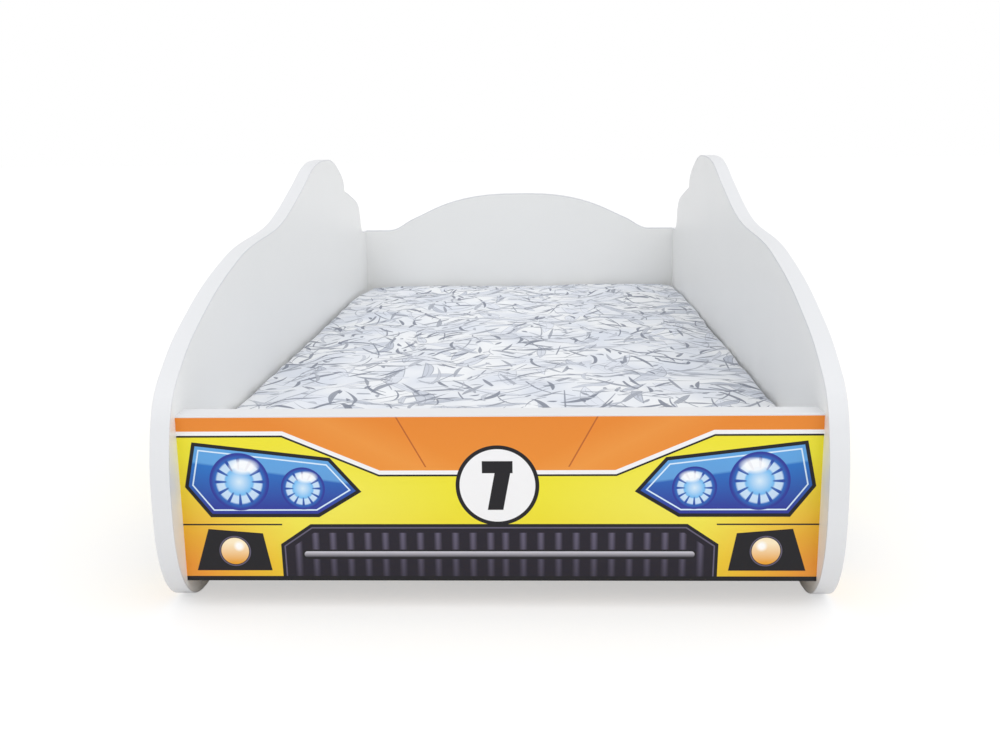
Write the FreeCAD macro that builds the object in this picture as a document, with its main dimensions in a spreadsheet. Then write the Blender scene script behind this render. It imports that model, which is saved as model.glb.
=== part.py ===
import FreeCAD, Part
import math
import os

import Sketcher

# A toddler bed shaped like a car: two laminated side boards cut to a car's
# outline, a low printed front panel on a foot-end board, a headboard with an
# arched top, a slatted base on two rails, and a loose mattress.
# Millimetres. +Z is up, the front of the car looks along -Y, and the origin
# is on the floor at the middle of the bed.

Vector = FreeCAD.Vector

# ---------------------------------------------------------------- the sizes

SIZES = (
    ("side_board", 22, "thickness of the side boards"),
    ("front_board", 16, "thickness of the printed front panel"),
    ("foot_board", 16, "thickness of the board behind the front panel"),
    ("head_board", 22, "thickness of the headboard"),
    ("band", 2, "thickness of the edge bands"),
    ("arris", 0.8, "rounding of the edge bands' long edges"),
    ("board_gap", 34, "floor to the underside of the cross boards"),
    ("front_height", 230, "floor to the top of the front panel's band"),
    ("shoulder_height", 304, "floor to the headboard's shoulders"),
    ("arch_height", 387, "floor to the top of the headboard's arch"),
    ("arch_foot", 305, "half width of the arch where it meets the shoulders"),
    ("arch_hip", 250, "half width of the arch at its hips"),
    ("arch_hip_drop", 58, "fall of the arch from its top to the hips"),
    ("arch_brow", 160, "half width of the arch at its brow"),
    ("arch_brow_drop", 19.5, "fall of the arch from its top to the brow"),
    ("mattress_length", 1396, "cushion, end to end"),
    ("mattress_width", 706, "cushion, side to side"),
    ("mattress_height", 96, "cushion at its edges"),
    ("mattress_crown", 5, "rise of the cushion's top above its edges"),
    ("end_crown", 0.4, "the same rise at the cushion's two ends"),
    ("mattress_waist", 4, "how far the cushion's long sides draw in"),
    ("top_corner", 18, "rounding of the cushion's upper edges"),
    ("under_corner", 8, "rounding of the cushion's lower edges"),
    ("end_corner", 32, "rounding of the cushion's upright corners"),
    ("zip_height", 14, "zip round the cover, above its underside"),
    ("cover_cloth", 2, "thickness of the quilted cover"),
    ("side_play", 7, "cushion to side board"),
    ("end_play", 2, "cushion to cross board"),
    ("seat_gap", 0.3, "clearance under and inside soft pieces"),
    ("rail_width", 30, "slat rail, side to side"),
    ("rail_height", 34, "slat rail, top to bottom"),
    ("rail_gap", 40, "floor to the underside of the slat rails"),
    ("rail_play", 5, "end of a slat rail to the cross board"),
    ("slat_count", 13, "slats in the base"),
    ("slat_width", 68, "width of a slat"),
    ("slat_thickness", 14, "thickness of a slat"),
    ("slat_play", 2, "end of a slat to the side board"),
    ("slat_margin", 20, "outer slat to the cross board"),
    ("slat_rounding", 3, "rounding of the slats' upper edges"),
    ("tape_width", 25, "width of the webbing under the slats"),
    ("tape_cloth", 1, "thickness of the webbing"),
    ("tape_inset", 10, "slat rail to webbing"),
    ("nose_overhang", 34, "side board ahead of the front panel"),
    ("nose_height", 118, "floor to the foremost point of the side"),
    ("toe_length", 99, "length of the rounded toe below the nose"),
    ("toe_fullness", 0.62, "handle of the toe's curve, 0.55 is an ellipse"),
    ("cheek_back", 7.5, "cheek of the nose, behind its tip"),
    ("cheek_height", 198, "floor to the cheek of the nose"),
    ("brow_back", 31.5, "brow of the nose, behind its tip"),
    ("brow_height", 251, "floor to the brow of the nose"),
    ("lip_back", 75, "lip of the bonnet, behind the nose's tip"),
    ("lip_height", 283, "floor to the lip of the bonnet"),
    ("bonnet_back", 179, "bonnet's front, behind the nose's tip"),
    ("bonnet_height", 328, "floor to the bonnet's front"),
    ("wing_back", 340, "top of the wing, behind the nose's tip"),
    ("wing_height", 370, "floor to the top of the wing"),
    ("cowl_back", 634, "foot of the windscreen, behind the nose's tip"),
    ("cowl_height", 401, "floor to the foot of the windscreen"),
    ("screen_ahead", 677, "middle of the windscreen, ahead of the headboard"),
    ("screen_height", 444, "floor to the middle of the windscreen"),
    ("header_ahead", 582, "windscreen's top, ahead of the headboard"),
    ("header_height", 473, "floor to the windscreen's top"),
    ("roof_ahead", 452, "highest point of the roof, ahead of the headboard"),
    ("roof_height", 482, "floor to the highest point of the roof"),
    ("rear_roof_ahead", 333, "rear part of the roof, ahead of the headboard"),
    ("rear_roof_height", 460, "floor to the rear part of the roof"),
    ("roof_end_ahead", 279, "rear edge of the roof, ahead of the headboard"),
    ("roof_end_height", 434, "floor to the rear edge of the roof"),
    ("boot_ahead", 260, "foot of the step behind the roof"),
    ("boot_height", 410, "floor to the foot of the step behind the roof"),
    ("deck_ahead", 185, "middle of the boot lid, ahead of the headboard"),
    ("deck_height", 395, "floor to the middle of the boot lid"),
    ("lid_ahead", 118, "rear edge of the boot lid, ahead of the headboard"),
    ("lid_height", 379, "floor to the rear edge of the boot lid"),
    ("tail_ahead", 26, "foot of the step behind the boot lid"),
    ("tail_overhang", 22, "side board behind the headboard"),
    ("tail_corner", 38, "rounding of the rear top corner"),
    ("heel_radius", 60, "rounding of the rear bottom corner"),
    ("dowel_radius", 4, "wooden dowels"),
    ("dowel_length", 30, "wooden dowels"),
    ("dowel_end_play", 1, "end of a dowel to the end of its hole"),
    ("dowel_in_side", 12, "depth of a dowel in a side board"),
    ("dowel_clearance", 0.1, "dowel to the wall of its hole"),
    ("dowel_inset", 28, "outer dowels to the end of their board's height"),
    ("cam_inset", 60, "cam bolts to the end of their board's height"),
    ("bolt_thread_radius", 3, "threaded end of a cam bolt"),
    ("bolt_in_side", 11, "thread of a cam bolt in a side board"),
    ("bolt_radius", 3.5, "stem of a cam bolt"),
    ("bolt_head_length", 3, "head and neck of a cam bolt, each"),
    ("bolt_clearance", 0.5, "cam bolt to the wall of its bore"),
    ("cam_radius", 7.5, "cam lock housings"),
    ("cam_depth", 12.5, "cam lock housings"),
    ("cam_setback", 34, "centre of a cam lock to the end of its board"),
    ("cam_clearance", 0.1, "cam lock to the wall of its bore"),
    ("screw_radius", 2, "shank of the chipboard screws"),
    ("screw_head_radius", 4, "countersunk head of the chipboard screws"),
    ("screw_slot", 1.1, "width of the cross in a screw's head"),
    ("screw_clearance", 0.25, "screw to the wall of a clearance hole"),
    ("screw_bite", 10, "screw in the piece that it holds to"),
    ("rail_screw_margin", 90, "outer rail screws to the rail's ends"),
    ("panel_screw_margin", 70, "outer panel screws to the board's ends"),
    ("panel_screw_inset", 40, "panel screws to the board's long edges"),
    ("slat_screw_inset", 15, "slat screws to the slat's end"),
)

# Lengths and places that follow from the sizes.
PLACES = (
    ("inner_half", "sizes.mattress_width / 2 + sizes.side_play"),
    ("inner_left", "-inner_half"),
    ("inner_length", "sizes.mattress_length + 2 * sizes.end_play"),
    ("front_stack", "sizes.front_board + sizes.foot_board"),
    ("head_face", "front_stack + inner_length"),
    ("side_rear", "head_face + sizes.head_board + sizes.tail_overhang"),
    ("overall_length", "sizes.nose_overhang + side_rear"),
    ("front_face", "sizes.nose_overhang - overall_length / 2"),
    ("foot_face", "front_face + sizes.front_board"),
    ("inner_front", "front_face + front_stack"),
    ("inner_rear", "inner_front + inner_length"),
    ("inner_middle", "inner_front + inner_length / 2"),
    ("front_board_top", "sizes.front_height - sizes.band"),
    ("rail_top", "sizes.rail_gap + sizes.rail_height"),
    ("rail_length", "inner_length - 2 * sizes.rail_play"),
    ("rail_start", "front_stack + sizes.rail_play"),
    ("rail_end", "rail_start + rail_length"),
    ("rail_inner", "inner_half - sizes.rail_width"),
    ("rail_middle", "sizes.rail_height / 2"),
    ("slat_half", "inner_half - sizes.slat_play"),
    ("slat_left", "-slat_half"),
    ("slat_top", "rail_top + sizes.slat_thickness"),
    ("slat_start", "inner_front + sizes.slat_margin"),
    ("slat_run", "inner_length - 2 * sizes.slat_margin - sizes.slat_width"),
    ("slat_pitch", "slat_run / (sizes.slat_count - 1)"),
    ("tape_outer", "rail_inner - sizes.tape_inset"),
    ("tape_length", "slat_run + sizes.slat_width"),
    ("cushion_base", "slat_top + sizes.seat_gap"),
    ("low_dowel", "sizes.board_gap + sizes.dowel_inset"),
    ("low_cam", "sizes.board_gap + sizes.cam_inset"),
    ("front_high_dowel", "front_board_top - sizes.dowel_inset"),
    ("front_high_cam", "front_board_top - sizes.cam_inset"),
    ("head_board_top", "sizes.shoulder_height - sizes.band"),
    ("head_high_dowel", "head_board_top - sizes.dowel_inset"),
    ("head_high_cam", "head_board_top - sizes.cam_inset"),
    ("front_middle", "sizes.front_board / 2"),
    ("foot_middle", "sizes.front_board + sizes.foot_board / 2"),
    ("head_middle", "head_face + sizes.head_board / 2"),
    ("half_foot_board", "sizes.foot_board / 2"),
    ("half_head_board", "sizes.head_board / 2"),
    ("cam_across", "inner_half - sizes.cam_setback"),
    ("dowel_in_board", "sizes.dowel_length - sizes.dowel_in_side"),
    ("dowel_bore", "sizes.dowel_radius + sizes.dowel_clearance"),
    ("bolt_bore", "sizes.bolt_radius + sizes.bolt_clearance"),
    ("bolt_bore_depth", "sizes.cam_setback + bolt_bore"),
    ("cam_bore", "sizes.cam_radius + sizes.cam_clearance"),
    ("screw_bore", "sizes.screw_radius + sizes.screw_clearance"),
    ("screw_cut_radius", "sizes.screw_head_radius + sizes.screw_clearance"),
    ("rail_screw_height", "sizes.rail_gap + rail_middle"),
    ("rail_screw_run", "rail_length - 2 * sizes.rail_screw_margin"),
    ("rail_screw_1", "rail_start + sizes.rail_screw_margin"),
    ("rail_screw_2", "rail_screw_1 + rail_screw_run / 4"),
    ("rail_screw_3", "rail_screw_1 + rail_screw_run / 2"),
    ("rail_screw_4", "rail_screw_1 + rail_screw_run * 3 / 4"),
    ("rail_screw_5", "rail_screw_1 + rail_screw_run"),
    ("slat_screw_across", "slat_half - sizes.slat_screw_inset"),
    ("slat_screw_left", "-slat_screw_across"),
    ("slat_screw_in_rail", "slat_screw_across - rail_inner"),
    ("slat_screw_in_left_rail", "-slat_screw_in_rail"),
    ("half_slat", "sizes.slat_width / 2"),
    ("first_slat_screw", "front_stack + sizes.slat_margin + half_slat"),
    ("last_slat_screw", "first_slat_screw + slat_run"),
    ("panel_screw_4", "inner_half - sizes.panel_screw_margin"),
    ("panel_screw_3", "panel_screw_4 / 3"),
    ("panel_screw_2", "-panel_screw_3"),
    ("panel_screw_1", "-panel_screw_4"),
    ("panel_screw_low", "sizes.board_gap + sizes.panel_screw_inset"),
    ("panel_screw_high", "front_board_top - sizes.panel_screw_inset"),
)

doc = FreeCAD.newDocument("car_bed")
sizes = doc.addObject("Spreadsheet::Sheet", "sizes")
for row, (alias, number, meaning) in enumerate(SIZES, start=1):
    sizes.set(f"A{row}", meaning)
    sizes.set(f"B{row}", str(number))
    sizes.setAlias(f"B{row}", alias)
places = doc.addObject("Spreadsheet::Sheet", "places")
for row, (alias, formula) in enumerate(PLACES, start=1):
    places.set(f"A{row}", alias)
    places.setAlias(f"B{row}", alias)
    places.set(f"B{row}", "=" + formula)
doc.recompute()

SIZE_NAMES = {alias for alias, number, meaning in SIZES}


def cell(alias):
    """The name that an expression uses for a size or a place."""
    sheet = "sizes" if alias in SIZE_NAMES else "places"
    return f"{sheet}.{alias}"


def value(alias):
    """The number in the cell of a size or a place."""
    sheet = sizes if alias in SIZE_NAMES else places
    return float(sheet.get(alias))


def bind(thing, **expressions):
    """Ties properties to cells; a double underscore stands for a dot."""
    for prop, expression in expressions.items():
        thing.setExpression(prop.replace("__", "."), expression)


def place(thing, x=None, y=None, z=None):
    """Ties the place of a sub-part to cells, or to expressions of them."""
    for axis, expression in (("x", x), ("y", y), ("z", z)):
        if expression is not None:
            thing.setExpression(f"Placement.Base.{axis}", expression)


# ------------------------------------------------------- bodies and sketches

TINY = 0.001
HEAD_TAPER = -45

def new_body(label):
    body = doc.addObject("PartDesign::Body", label)
    body.Label = label
    return body


def origin_plane(body, role):
    return next(f for f in body.Origin.OriginFeatures if f.Role == role)


def new_sketch(body, name, role):
    sketch = body.newObject("Sketcher::SketchObject", name)
    sketch.AttachmentSupport = (origin_plane(body, role), [""])
    sketch.MapMode = "FlatFace"
    return sketch


def rectangle(sketch, left, right, bottom, top):
    """A rectangle whose four sides lie at cells; None is the sketch's axis."""
    x = [0 if alias is None else value(alias) for alias in (left, right)]
    y = [0 if alias is None else value(alias) for alias in (bottom, top)]
    corners = [Vector(x[0], y[0]), Vector(x[1], y[0]),
               Vector(x[1], y[1]), Vector(x[0], y[1])]
    for here, there in zip(corners, corners[1:] + corners[:1]):
        sketch.addGeometry(Part.LineSegment(here, there))
    for side in range(4):
        following = (side + 1) % 4
        sketch.addConstraint(Sketcher.Constraint("Coincident", side, 2, following, 1))
    for side in (0, 2):
        sketch.addConstraint(Sketcher.Constraint("Horizontal", side))
    for side in (1, 3):
        sketch.addConstraint(Sketcher.Constraint("Vertical", side))
    for kind, side, alias, number in (("DistanceX", 0, left, x[0]),
                                      ("DistanceX", 2, right, x[1]),
                                      ("DistanceY", 0, bottom, y[0]),
                                      ("DistanceY", 2, top, y[1])):
        if alias is None:
            axis = -2 if kind == "DistanceX" else -1
            sketch.addConstraint(Sketcher.Constraint("PointOnObject", side, 1, axis))
            continue
        rule = sketch.addConstraint(Sketcher.Constraint(kind, -1, 1, side, 1, number))
        sketch.setExpression(f"Constraints[{rule}]", cell(alias))


def pad(body, sketch, name, thickness, reverse=False):
    feature = body.newObject("PartDesign::Pad", name)
    feature.Profile = sketch
    feature.Reversed = reverse
    feature.setExpression("Length", thickness)
    sketch.Visibility = False
    return feature


def drill(body, name, role, centres, radius, depth, at=None, reverse=False):
    """Round holes of one kind; no depth means right through."""
    sketch = new_sketch(body, name + "_circles", role)
    if at is not None:
        sketch.setExpression("AttachmentOffset.Base.z", at)
    for x_alias, y_alias in centres:
        centre = Vector(value(x_alias), value(y_alias))
        circle = sketch.addGeometry(Part.Circle(centre, Vector(0, 0, 1), value(radius)))
        x_rule = sketch.addConstraint(
            Sketcher.Constraint("DistanceX", -1, 1, circle, 3, centre.x))
        y_rule = sketch.addConstraint(
            Sketcher.Constraint("DistanceY", -1, 1, circle, 3, centre.y))
        r_rule = sketch.addConstraint(
            Sketcher.Constraint("Radius", circle, value(radius)))
        sketch.setExpression(f"Constraints[{x_rule}]", cell(x_alias))
        sketch.setExpression(f"Constraints[{y_rule}]", cell(y_alias))
        sketch.setExpression(f"Constraints[{r_rule}]", cell(radius))
    feature = body.newObject("PartDesign::Pocket", name)
    feature.Profile = sketch
    feature.Reversed = reverse
    if depth is None:
        feature.Type = "ThroughAll"
    else:
        feature.setExpression("Length", depth)
    sketch.Visibility = False
    return feature


def screw_holes(body, name, role, centres, at=None, reverse=False):
    """Countersunk through holes; centres are pairs of cell names."""
    clear = drill(body, name, role, centres, "screw_bore", None, at, reverse)
    cut = drill(body, name + "_heads", role, centres, "screw_cut_radius",
                cell("screw_cut_radius") + " - " + cell("screw_bore"), at, reverse)
    cut.TaperAngle = HEAD_TAPER
    return clear, cut


def mirror_features(body, features, name):
    """Repeats features on the other side of the middle plane."""
    mirror = body.newObject("PartDesign::Mirrored", name)
    mirror.Originals = features
    mirror.MirrorPlane = (origin_plane(body, "YZ_Plane"), [""])
    body.Tip = mirror
    return mirror


def finished(label, shape):
    """A sub-part whose shape comes straight from geometry functions."""
    thing = doc.addObject("Part::Feature", label)
    thing.Label = label
    thing.Shape = shape
    return thing


# ------------------------------------------------------ the car's side outline
# The outline runs from the toe up the nose and over the roof to the heel, so
# the board lies on its right-hand side. An inset moves it into the board.

FORWARD = Vector(-1, 0, 0)
BACKWARD = Vector(1, 0, 0)
UP = Vector(0, 1, 0)
DOWN = Vector(0, -1, 0)
ELLIPSE = 4 / 3 * math.tan(math.pi / 8)
SWEEP_FULLNESS = 0.36
STEP_FULLNESS = 0.6


def falling(degrees):
    """A heading towards the rear that falls by an angle."""
    angle = math.radians(degrees)
    return Vector(math.cos(angle), -math.sin(angle), 0)


ROOF_FALL = falling(34)
BOOT_FALL = falling(9)
LID_FALL = falling(17)


def from_nose(back, height):
    return Vector(value(back) - value("nose_overhang"), value(height))


def from_head(ahead, height):
    return Vector(value("head_face") - value(ahead), value(height))


def inward(point, heading, inset):
    """A point of the outline moved square to its heading, into the board."""
    return point + Vector(heading.y, -heading.x, 0) * inset


def handled_curve(start, heading_in, handle_in, end, heading_out, handle_out):
    curve = Part.BezierCurve()
    curve.setPoles([start, start + heading_in * handle_in,
                    end - heading_out * handle_out, end])
    return curve.toBSpline()


def heading_through(before, here, after):
    """The heading at a point of the circle through its two neighbours."""
    first = here - before
    last = after - here
    share = last.Length / first.Length
    return (first * share + last * (1 / share)).normalize()


def swept_line(points, heading_in, heading_out, inset):
    """A smooth run of curves through points, with its end headings."""
    trios = zip(points, points[1:], points[2:])
    headings = [heading_in] + [heading_through(*trio) for trio in trios] + [heading_out]
    stops = [inward(*stop, inset) for stop in zip(points, headings)]
    pieces = []
    for start, end, leaving, arriving in zip(stops, stops[1:], headings, headings[1:]):
        handle = (end - start).Length * SWEEP_FULLNESS
        pieces.append(handled_curve(start, leaving, handle, end, arriving, handle))
    return pieces


def soft_step(start, heading_in, end, heading_out, inset):
    """A small step in the outline, eased at both ends."""
    start = inward(start, heading_in, inset)
    end = inward(end, heading_out, inset)
    handle = (end - start).Length * STEP_FULLNESS
    return handled_curve(start, heading_in, handle, end, heading_out, handle)


def quarter_curve(start, heading_in, end, heading_out, inset, fullness=ELLIPSE):
    """A quarter turn; its handles are shares of its two legs."""
    start = inward(start, heading_in, inset)
    end = inward(end, heading_out, inset)
    first_leg = abs((end - start).dot(heading_in))
    last_leg = abs((end - start).dot(heading_out))
    return handled_curve(start, heading_in, first_leg * fullness,
                         end, heading_out, last_leg * fullness)


TOE_START = Vector(value("toe_length") - value("nose_overhang"), 0)
NOSE_TIP = Vector(-value("nose_overhang"), value("nose_height"))
ROOF_TOP = from_head("roof_ahead", "roof_height")
ROOF_END = from_head("roof_end_ahead", "roof_end_height")
BOOT_START = from_head("boot_ahead", "boot_height")
LID_END = from_head("lid_ahead", "lid_height")
TAIL_START = from_head("tail_ahead", "shoulder_height")
TAIL_END = Vector(value("side_rear") - value("tail_corner"), value("shoulder_height"))
TAIL_TIP = Vector(value("side_rear"), value("shoulder_height") - value("tail_corner"))
HEEL_TOP = Vector(value("side_rear"), value("heel_radius"))
HEEL_END = Vector(value("side_rear") - value("heel_radius"), 0)
FRONT_LINE = [
    NOSE_TIP,
    from_nose("cheek_back", "cheek_height"),
    from_nose("brow_back", "brow_height"),
    from_nose("lip_back", "lip_height"),
    from_nose("bonnet_back", "bonnet_height"),
    from_nose("wing_back", "wing_height"),
    from_nose("cowl_back", "cowl_height"),
    from_head("screen_ahead", "screen_height"),
    from_head("header_ahead", "header_height"),
    ROOF_TOP,
]
REAR_LINE = [ROOF_TOP, from_head("rear_roof_ahead", "rear_roof_height"), ROOF_END]
BOOT_LINE = [BOOT_START, from_head("deck_ahead", "deck_height"), LID_END]


def straight(start, end, heading, inset):
    return Part.LineSegment(inward(start, heading, inset), inward(end, heading, inset))


def car_outline(inset=0):
    """The side's outline from the toe over the roof to the heel."""
    return [
        quarter_curve(TOE_START, FORWARD, NOSE_TIP, UP, inset, value("toe_fullness")),
        *swept_line(FRONT_LINE, UP, BACKWARD, inset),
        *swept_line(REAR_LINE, BACKWARD, ROOF_FALL, inset),
        soft_step(ROOF_END, ROOF_FALL, BOOT_START, BOOT_FALL, inset),
        *swept_line(BOOT_LINE, BOOT_FALL, LID_FALL, inset),
        soft_step(LID_END, LID_FALL, TAIL_START, BACKWARD, inset),
        straight(TAIL_START, TAIL_END, BACKWARD, inset),
        quarter_curve(TAIL_END, BACKWARD, TAIL_TIP, DOWN, inset),
        straight(TAIL_TIP, HEEL_TOP, DOWN, inset),
        quarter_curve(HEEL_TOP, DOWN, HEEL_END, FORWARD, inset),
    ]


def arch_outline(inset=0):
    """The headboard's upper edge, from its left end to its right end."""
    shoulder = value("shoulder_height")
    top = value("arch_height")
    end = Vector(value("inner_half"), shoulder)
    foot = Vector(value("arch_foot"), shoulder)
    hip = Vector(value("arch_hip"), top - value("arch_hip_drop"))
    brow = Vector(value("arch_brow"), top - value("arch_brow_drop"))
    right = [Vector(0, top), brow, hip, foot]
    left = [Vector(-point.x, point.y) for point in reversed(right)]
    return [
        straight(Vector(-end.x, shoulder), left[0], BACKWARD, inset),
        *swept_line(left, BACKWARD, BACKWARD, inset),
        *swept_line(right, BACKWARD, BACKWARD, inset),
        straight(foot, end, BACKWARD, inset),
    ]


def joined_lines(points):
    return [Part.LineSegment(a, b) for a, b in zip(points, points[1:])]


def ends_of(curves):
    """The first and the last point of a run of curves."""
    first = curves[0].value(curves[0].FirstParameter)
    last = curves[-1].value(curves[-1].LastParameter)
    return first, last


# ----------------------------------------------------------------- the boards

RAIL_SCREWS = [(f"rail_screw_{number}", "rail_screw_height") for number in range(1, 6)]
PANEL_SCREWS = [(f"panel_screw_{number}", height) for number in range(1, 5)
                for height in ("panel_screw_low", "panel_screw_high")]


def side_panel(label, hand):
    """A side board; its inner face is the plane that it is drilled from."""
    body = new_body(label)
    sketch = new_sketch(body, label + "_outline", "YZ_Plane")
    curves = car_outline(value("band"))
    first, last = ends_of(curves)
    floor_line = joined_lines([last, HEEL_END, TOE_START, first])
    sketch.addGeometry(curves + floor_line)
    outward = hand > 0
    pad(body, sketch, label + "_pad", cell("side_board"), reverse=not outward)
    dowels = [("foot_middle", "low_dowel"), ("foot_middle", "front_high_dowel"),
              ("front_middle", "low_dowel"), ("front_middle", "front_high_dowel"),
              ("head_middle", "low_dowel"), ("head_middle", "head_high_dowel")]
    bolts = [("foot_middle", "low_cam"), ("foot_middle", "front_high_cam"),
             ("head_middle", "low_cam"), ("head_middle", "head_high_cam")]
    drill(body, label + "_dowel_holes", "YZ_Plane", dowels, "dowel_bore",
          cell("dowel_in_side"), reverse=outward)
    drill(body, label + "_bolt_holes", "YZ_Plane", bolts, "bolt_thread_radius",
          cell("bolt_in_side"), reverse=outward)
    drill(body, label + "_pilot_holes", "YZ_Plane", RAIL_SCREWS, "screw_radius",
          cell("screw_bite"), reverse=outward)
    place(body, x="places.inner_half" if outward else "-places.inner_half",
          y="places.front_face")
    return body


def strip(label, outer, inner, role, thickness, reverse=False):
    """An edge band: what lies between an outline and its inset."""
    body = new_body(label)
    sketch = new_sketch(body, label + "_outline", role)
    outer_first, outer_last = ends_of(outer)
    inner_first, inner_last = ends_of(inner)
    ends = joined_lines([outer_last, inner_last]) + joined_lines([inner_first, outer_first])
    sketch.addGeometry(outer + inner + ends)
    pad(body, sketch, label + "_pad", thickness, reverse)
    return body


def round_arris(body, name, outer, flatten):
    """Rounds the two long edges of a band that lie on its outer line."""
    doc.recompute()
    base = body.Tip
    outer_wire = Part.Wire([curve.toShape() for curve in outer])
    names = []
    for index, edge in enumerate(base.Shape.Edges, start=1):
        ends = [edge.valueAt(edge.FirstParameter), edge.valueAt(edge.LastParameter)]
        middle = edge.valueAt((edge.FirstParameter + edge.LastParameter) / 2)
        flat = [flatten(point) for point in ends + [middle]]
        if (flat[0] - flat[1]).Length < TINY:
            continue
        gaps = [outer_wire.distToShape(Part.Vertex(point))[0] for point in flat]
        if max(gaps) < TINY:
            names.append(f"Edge{index}")
    fillet = body.newObject("PartDesign::Fillet", name)
    fillet.Base = (base, names)
    fillet.setExpression("Radius", cell("arris"))
    body.Tip = fillet


def side_edge_band(label, hand):
    outer = car_outline()
    outward = hand > 0
    body = strip(label, outer, car_outline(value("band")), "YZ_Plane",
                 cell("side_board"), reverse=not outward)
    round_arris(body, label + "_arris", outer, lambda point: Vector(point.y, point.z))
    place(body, x="places.inner_half" if outward else "-places.inner_half",
          y="places.front_face")
    return body


def end_joints(body, label, half_board, heights):
    """Dowel holes and bolt bores in both ends of a cross board."""
    low_dowel, high_dowel, low_cam, high_cam = heights
    made = [drill(body, label + "_dowel_holes", "YZ_Plane",
                  [(half_board, low_dowel), (half_board, high_dowel)], "dowel_bore",
                  "places.dowel_in_board + sizes.dowel_end_play",
                  at="places.inner_half")]
    if low_cam is not None:
        made.append(drill(body, label + "_bolt_bores", "YZ_Plane",
                          [(half_board, low_cam), (half_board, high_cam)], "bolt_bore",
                          cell("bolt_bore_depth"), at="places.inner_half"))
    return made


def cam_bores(body, label, thickness, low_cam, high_cam):
    """Housings for the cam locks, sunk in the back of a cross board."""
    return drill(body, label + "_cam_bores", "XZ_Plane",
                 [("cam_across", low_cam), ("cam_across", high_cam)], "cam_bore",
                 cell("cam_depth"), at="-" + cell(thickness), reverse=True)


def front_panel():
    """The printed panel; its face is the front of the bed."""
    body = new_body("front_panel")
    sketch = new_sketch(body, "front_panel_outline", "XZ_Plane")
    rectangle(sketch, "inner_left", "inner_half", "board_gap", "front_board_top")
    pad(body, sketch, "front_panel_pad", cell("front_board"), reverse=True)
    heights = ("low_dowel", "front_high_dowel", None, None)
    joints = end_joints(body, "front_panel", "front_middle", heights)
    mirror_features(body, joints, "front_panel_left_end")
    drill(body, "front_panel_pilot_holes", "XZ_Plane", PANEL_SCREWS, "screw_radius",
          cell("screw_bite"), at="-" + cell("front_board"), reverse=True)
    place(body, y="places.front_face")
    return body


def foot_end_board():
    """The plain board that backs the printed panel and holds the mattress."""
    body = new_body("foot_end_board")
    sketch = new_sketch(body, "foot_end_outline", "XZ_Plane")
    rectangle(sketch, "inner_left", "inner_half", "board_gap", "front_board_top")
    pad(body, sketch, "foot_end_pad", cell("foot_board"), reverse=True)
    heights = ("low_dowel", "front_high_dowel", "low_cam", "front_high_cam")
    joints = end_joints(body, "foot_end", "half_foot_board", heights)
    joints.append(cam_bores(body, "foot_end", "foot_board", "low_cam", "front_high_cam"))
    mirror_features(body, joints, "foot_end_left_end")
    screw_holes(body, "foot_end_screw_holes", "XZ_Plane", PANEL_SCREWS,
                at="-" + cell("foot_board"), reverse=True)
    place(body, y="places.foot_face")
    return body


def headboard():
    """The headboard, its arch inset by the thickness of its edge band."""
    body = new_body("headboard")
    sketch = new_sketch(body, "headboard_outline", "XZ_Plane")
    arch = arch_outline(value("band"))
    first, last = ends_of(arch)
    low_right = Vector(value("inner_half"), value("board_gap"))
    low_left = Vector(-low_right.x, low_right.y)
    sketch.addGeometry(arch + joined_lines([last, low_right, low_left, first]))
    pad(body, sketch, "headboard_pad", cell("head_board"), reverse=True)
    heights = ("low_dowel", "head_high_dowel", "low_cam", "head_high_cam")
    joints = end_joints(body, "headboard", "half_head_board", heights)
    joints.append(cam_bores(body, "headboard", "head_board", "low_cam", "head_high_cam"))
    mirror_features(body, joints, "headboard_left_end")
    place(body, y="places.inner_rear")
    return body


def headboard_edge_band():
    outer = arch_outline()
    body = strip("headboard_edge_band", outer, arch_outline(value("band")), "XZ_Plane",
                 cell("head_board"), reverse=True)
    round_arris(body, "headboard_band_arris", outer,
                lambda point: Vector(point.x, point.z))
    place(body, y="places.inner_rear")
    return body


def front_top_band():
    """One wide band over the top edges of the front panel and its backing."""
    body = new_body("front_top_band")
    sketch = new_sketch(body, "front_band_outline", "XZ_Plane")
    rectangle(sketch, "inner_left", "inner_half", "front_board_top", "front_height")
    pad(body, sketch, "front_band_pad", cell("front_stack"), reverse=True)
    top = value("front_height")
    half = value("inner_half")
    outer = [Part.LineSegment(Vector(-half, top), Vector(half, top))]
    round_arris(body, "front_band_arris", outer, lambda point: Vector(point.x, point.z))
    place(body, y="places.front_face")
    return body


# ------------------------------------------------------------- the slatted base

def slat_rail(label, hand):
    """A rail along a side board; the slats' ends lie on it."""
    outward = hand > 0
    body = new_body(label)
    sketch = new_sketch(body, label + "_outline", "YZ_Plane")
    rectangle(sketch, "rail_start", "rail_end", "rail_gap", "rail_top")
    pad(body, sketch, label + "_pad", cell("rail_width"), reverse=not outward)
    screw_holes(body, label + "_screw_holes", "YZ_Plane", RAIL_SCREWS, reverse=outward)
    across = "slat_screw_in_rail" if outward else "slat_screw_in_left_rail"
    drill(body, label + "_pilot_holes", "XY_Plane",
          [(across, "first_slat_screw"), (across, "last_slat_screw")], "screw_radius",
          cell("screw_bite"), at=cell("rail_top"))
    place(body, x="places.rail_inner" if outward else "-places.rail_inner",
          y="places.front_face")
    return body


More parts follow.
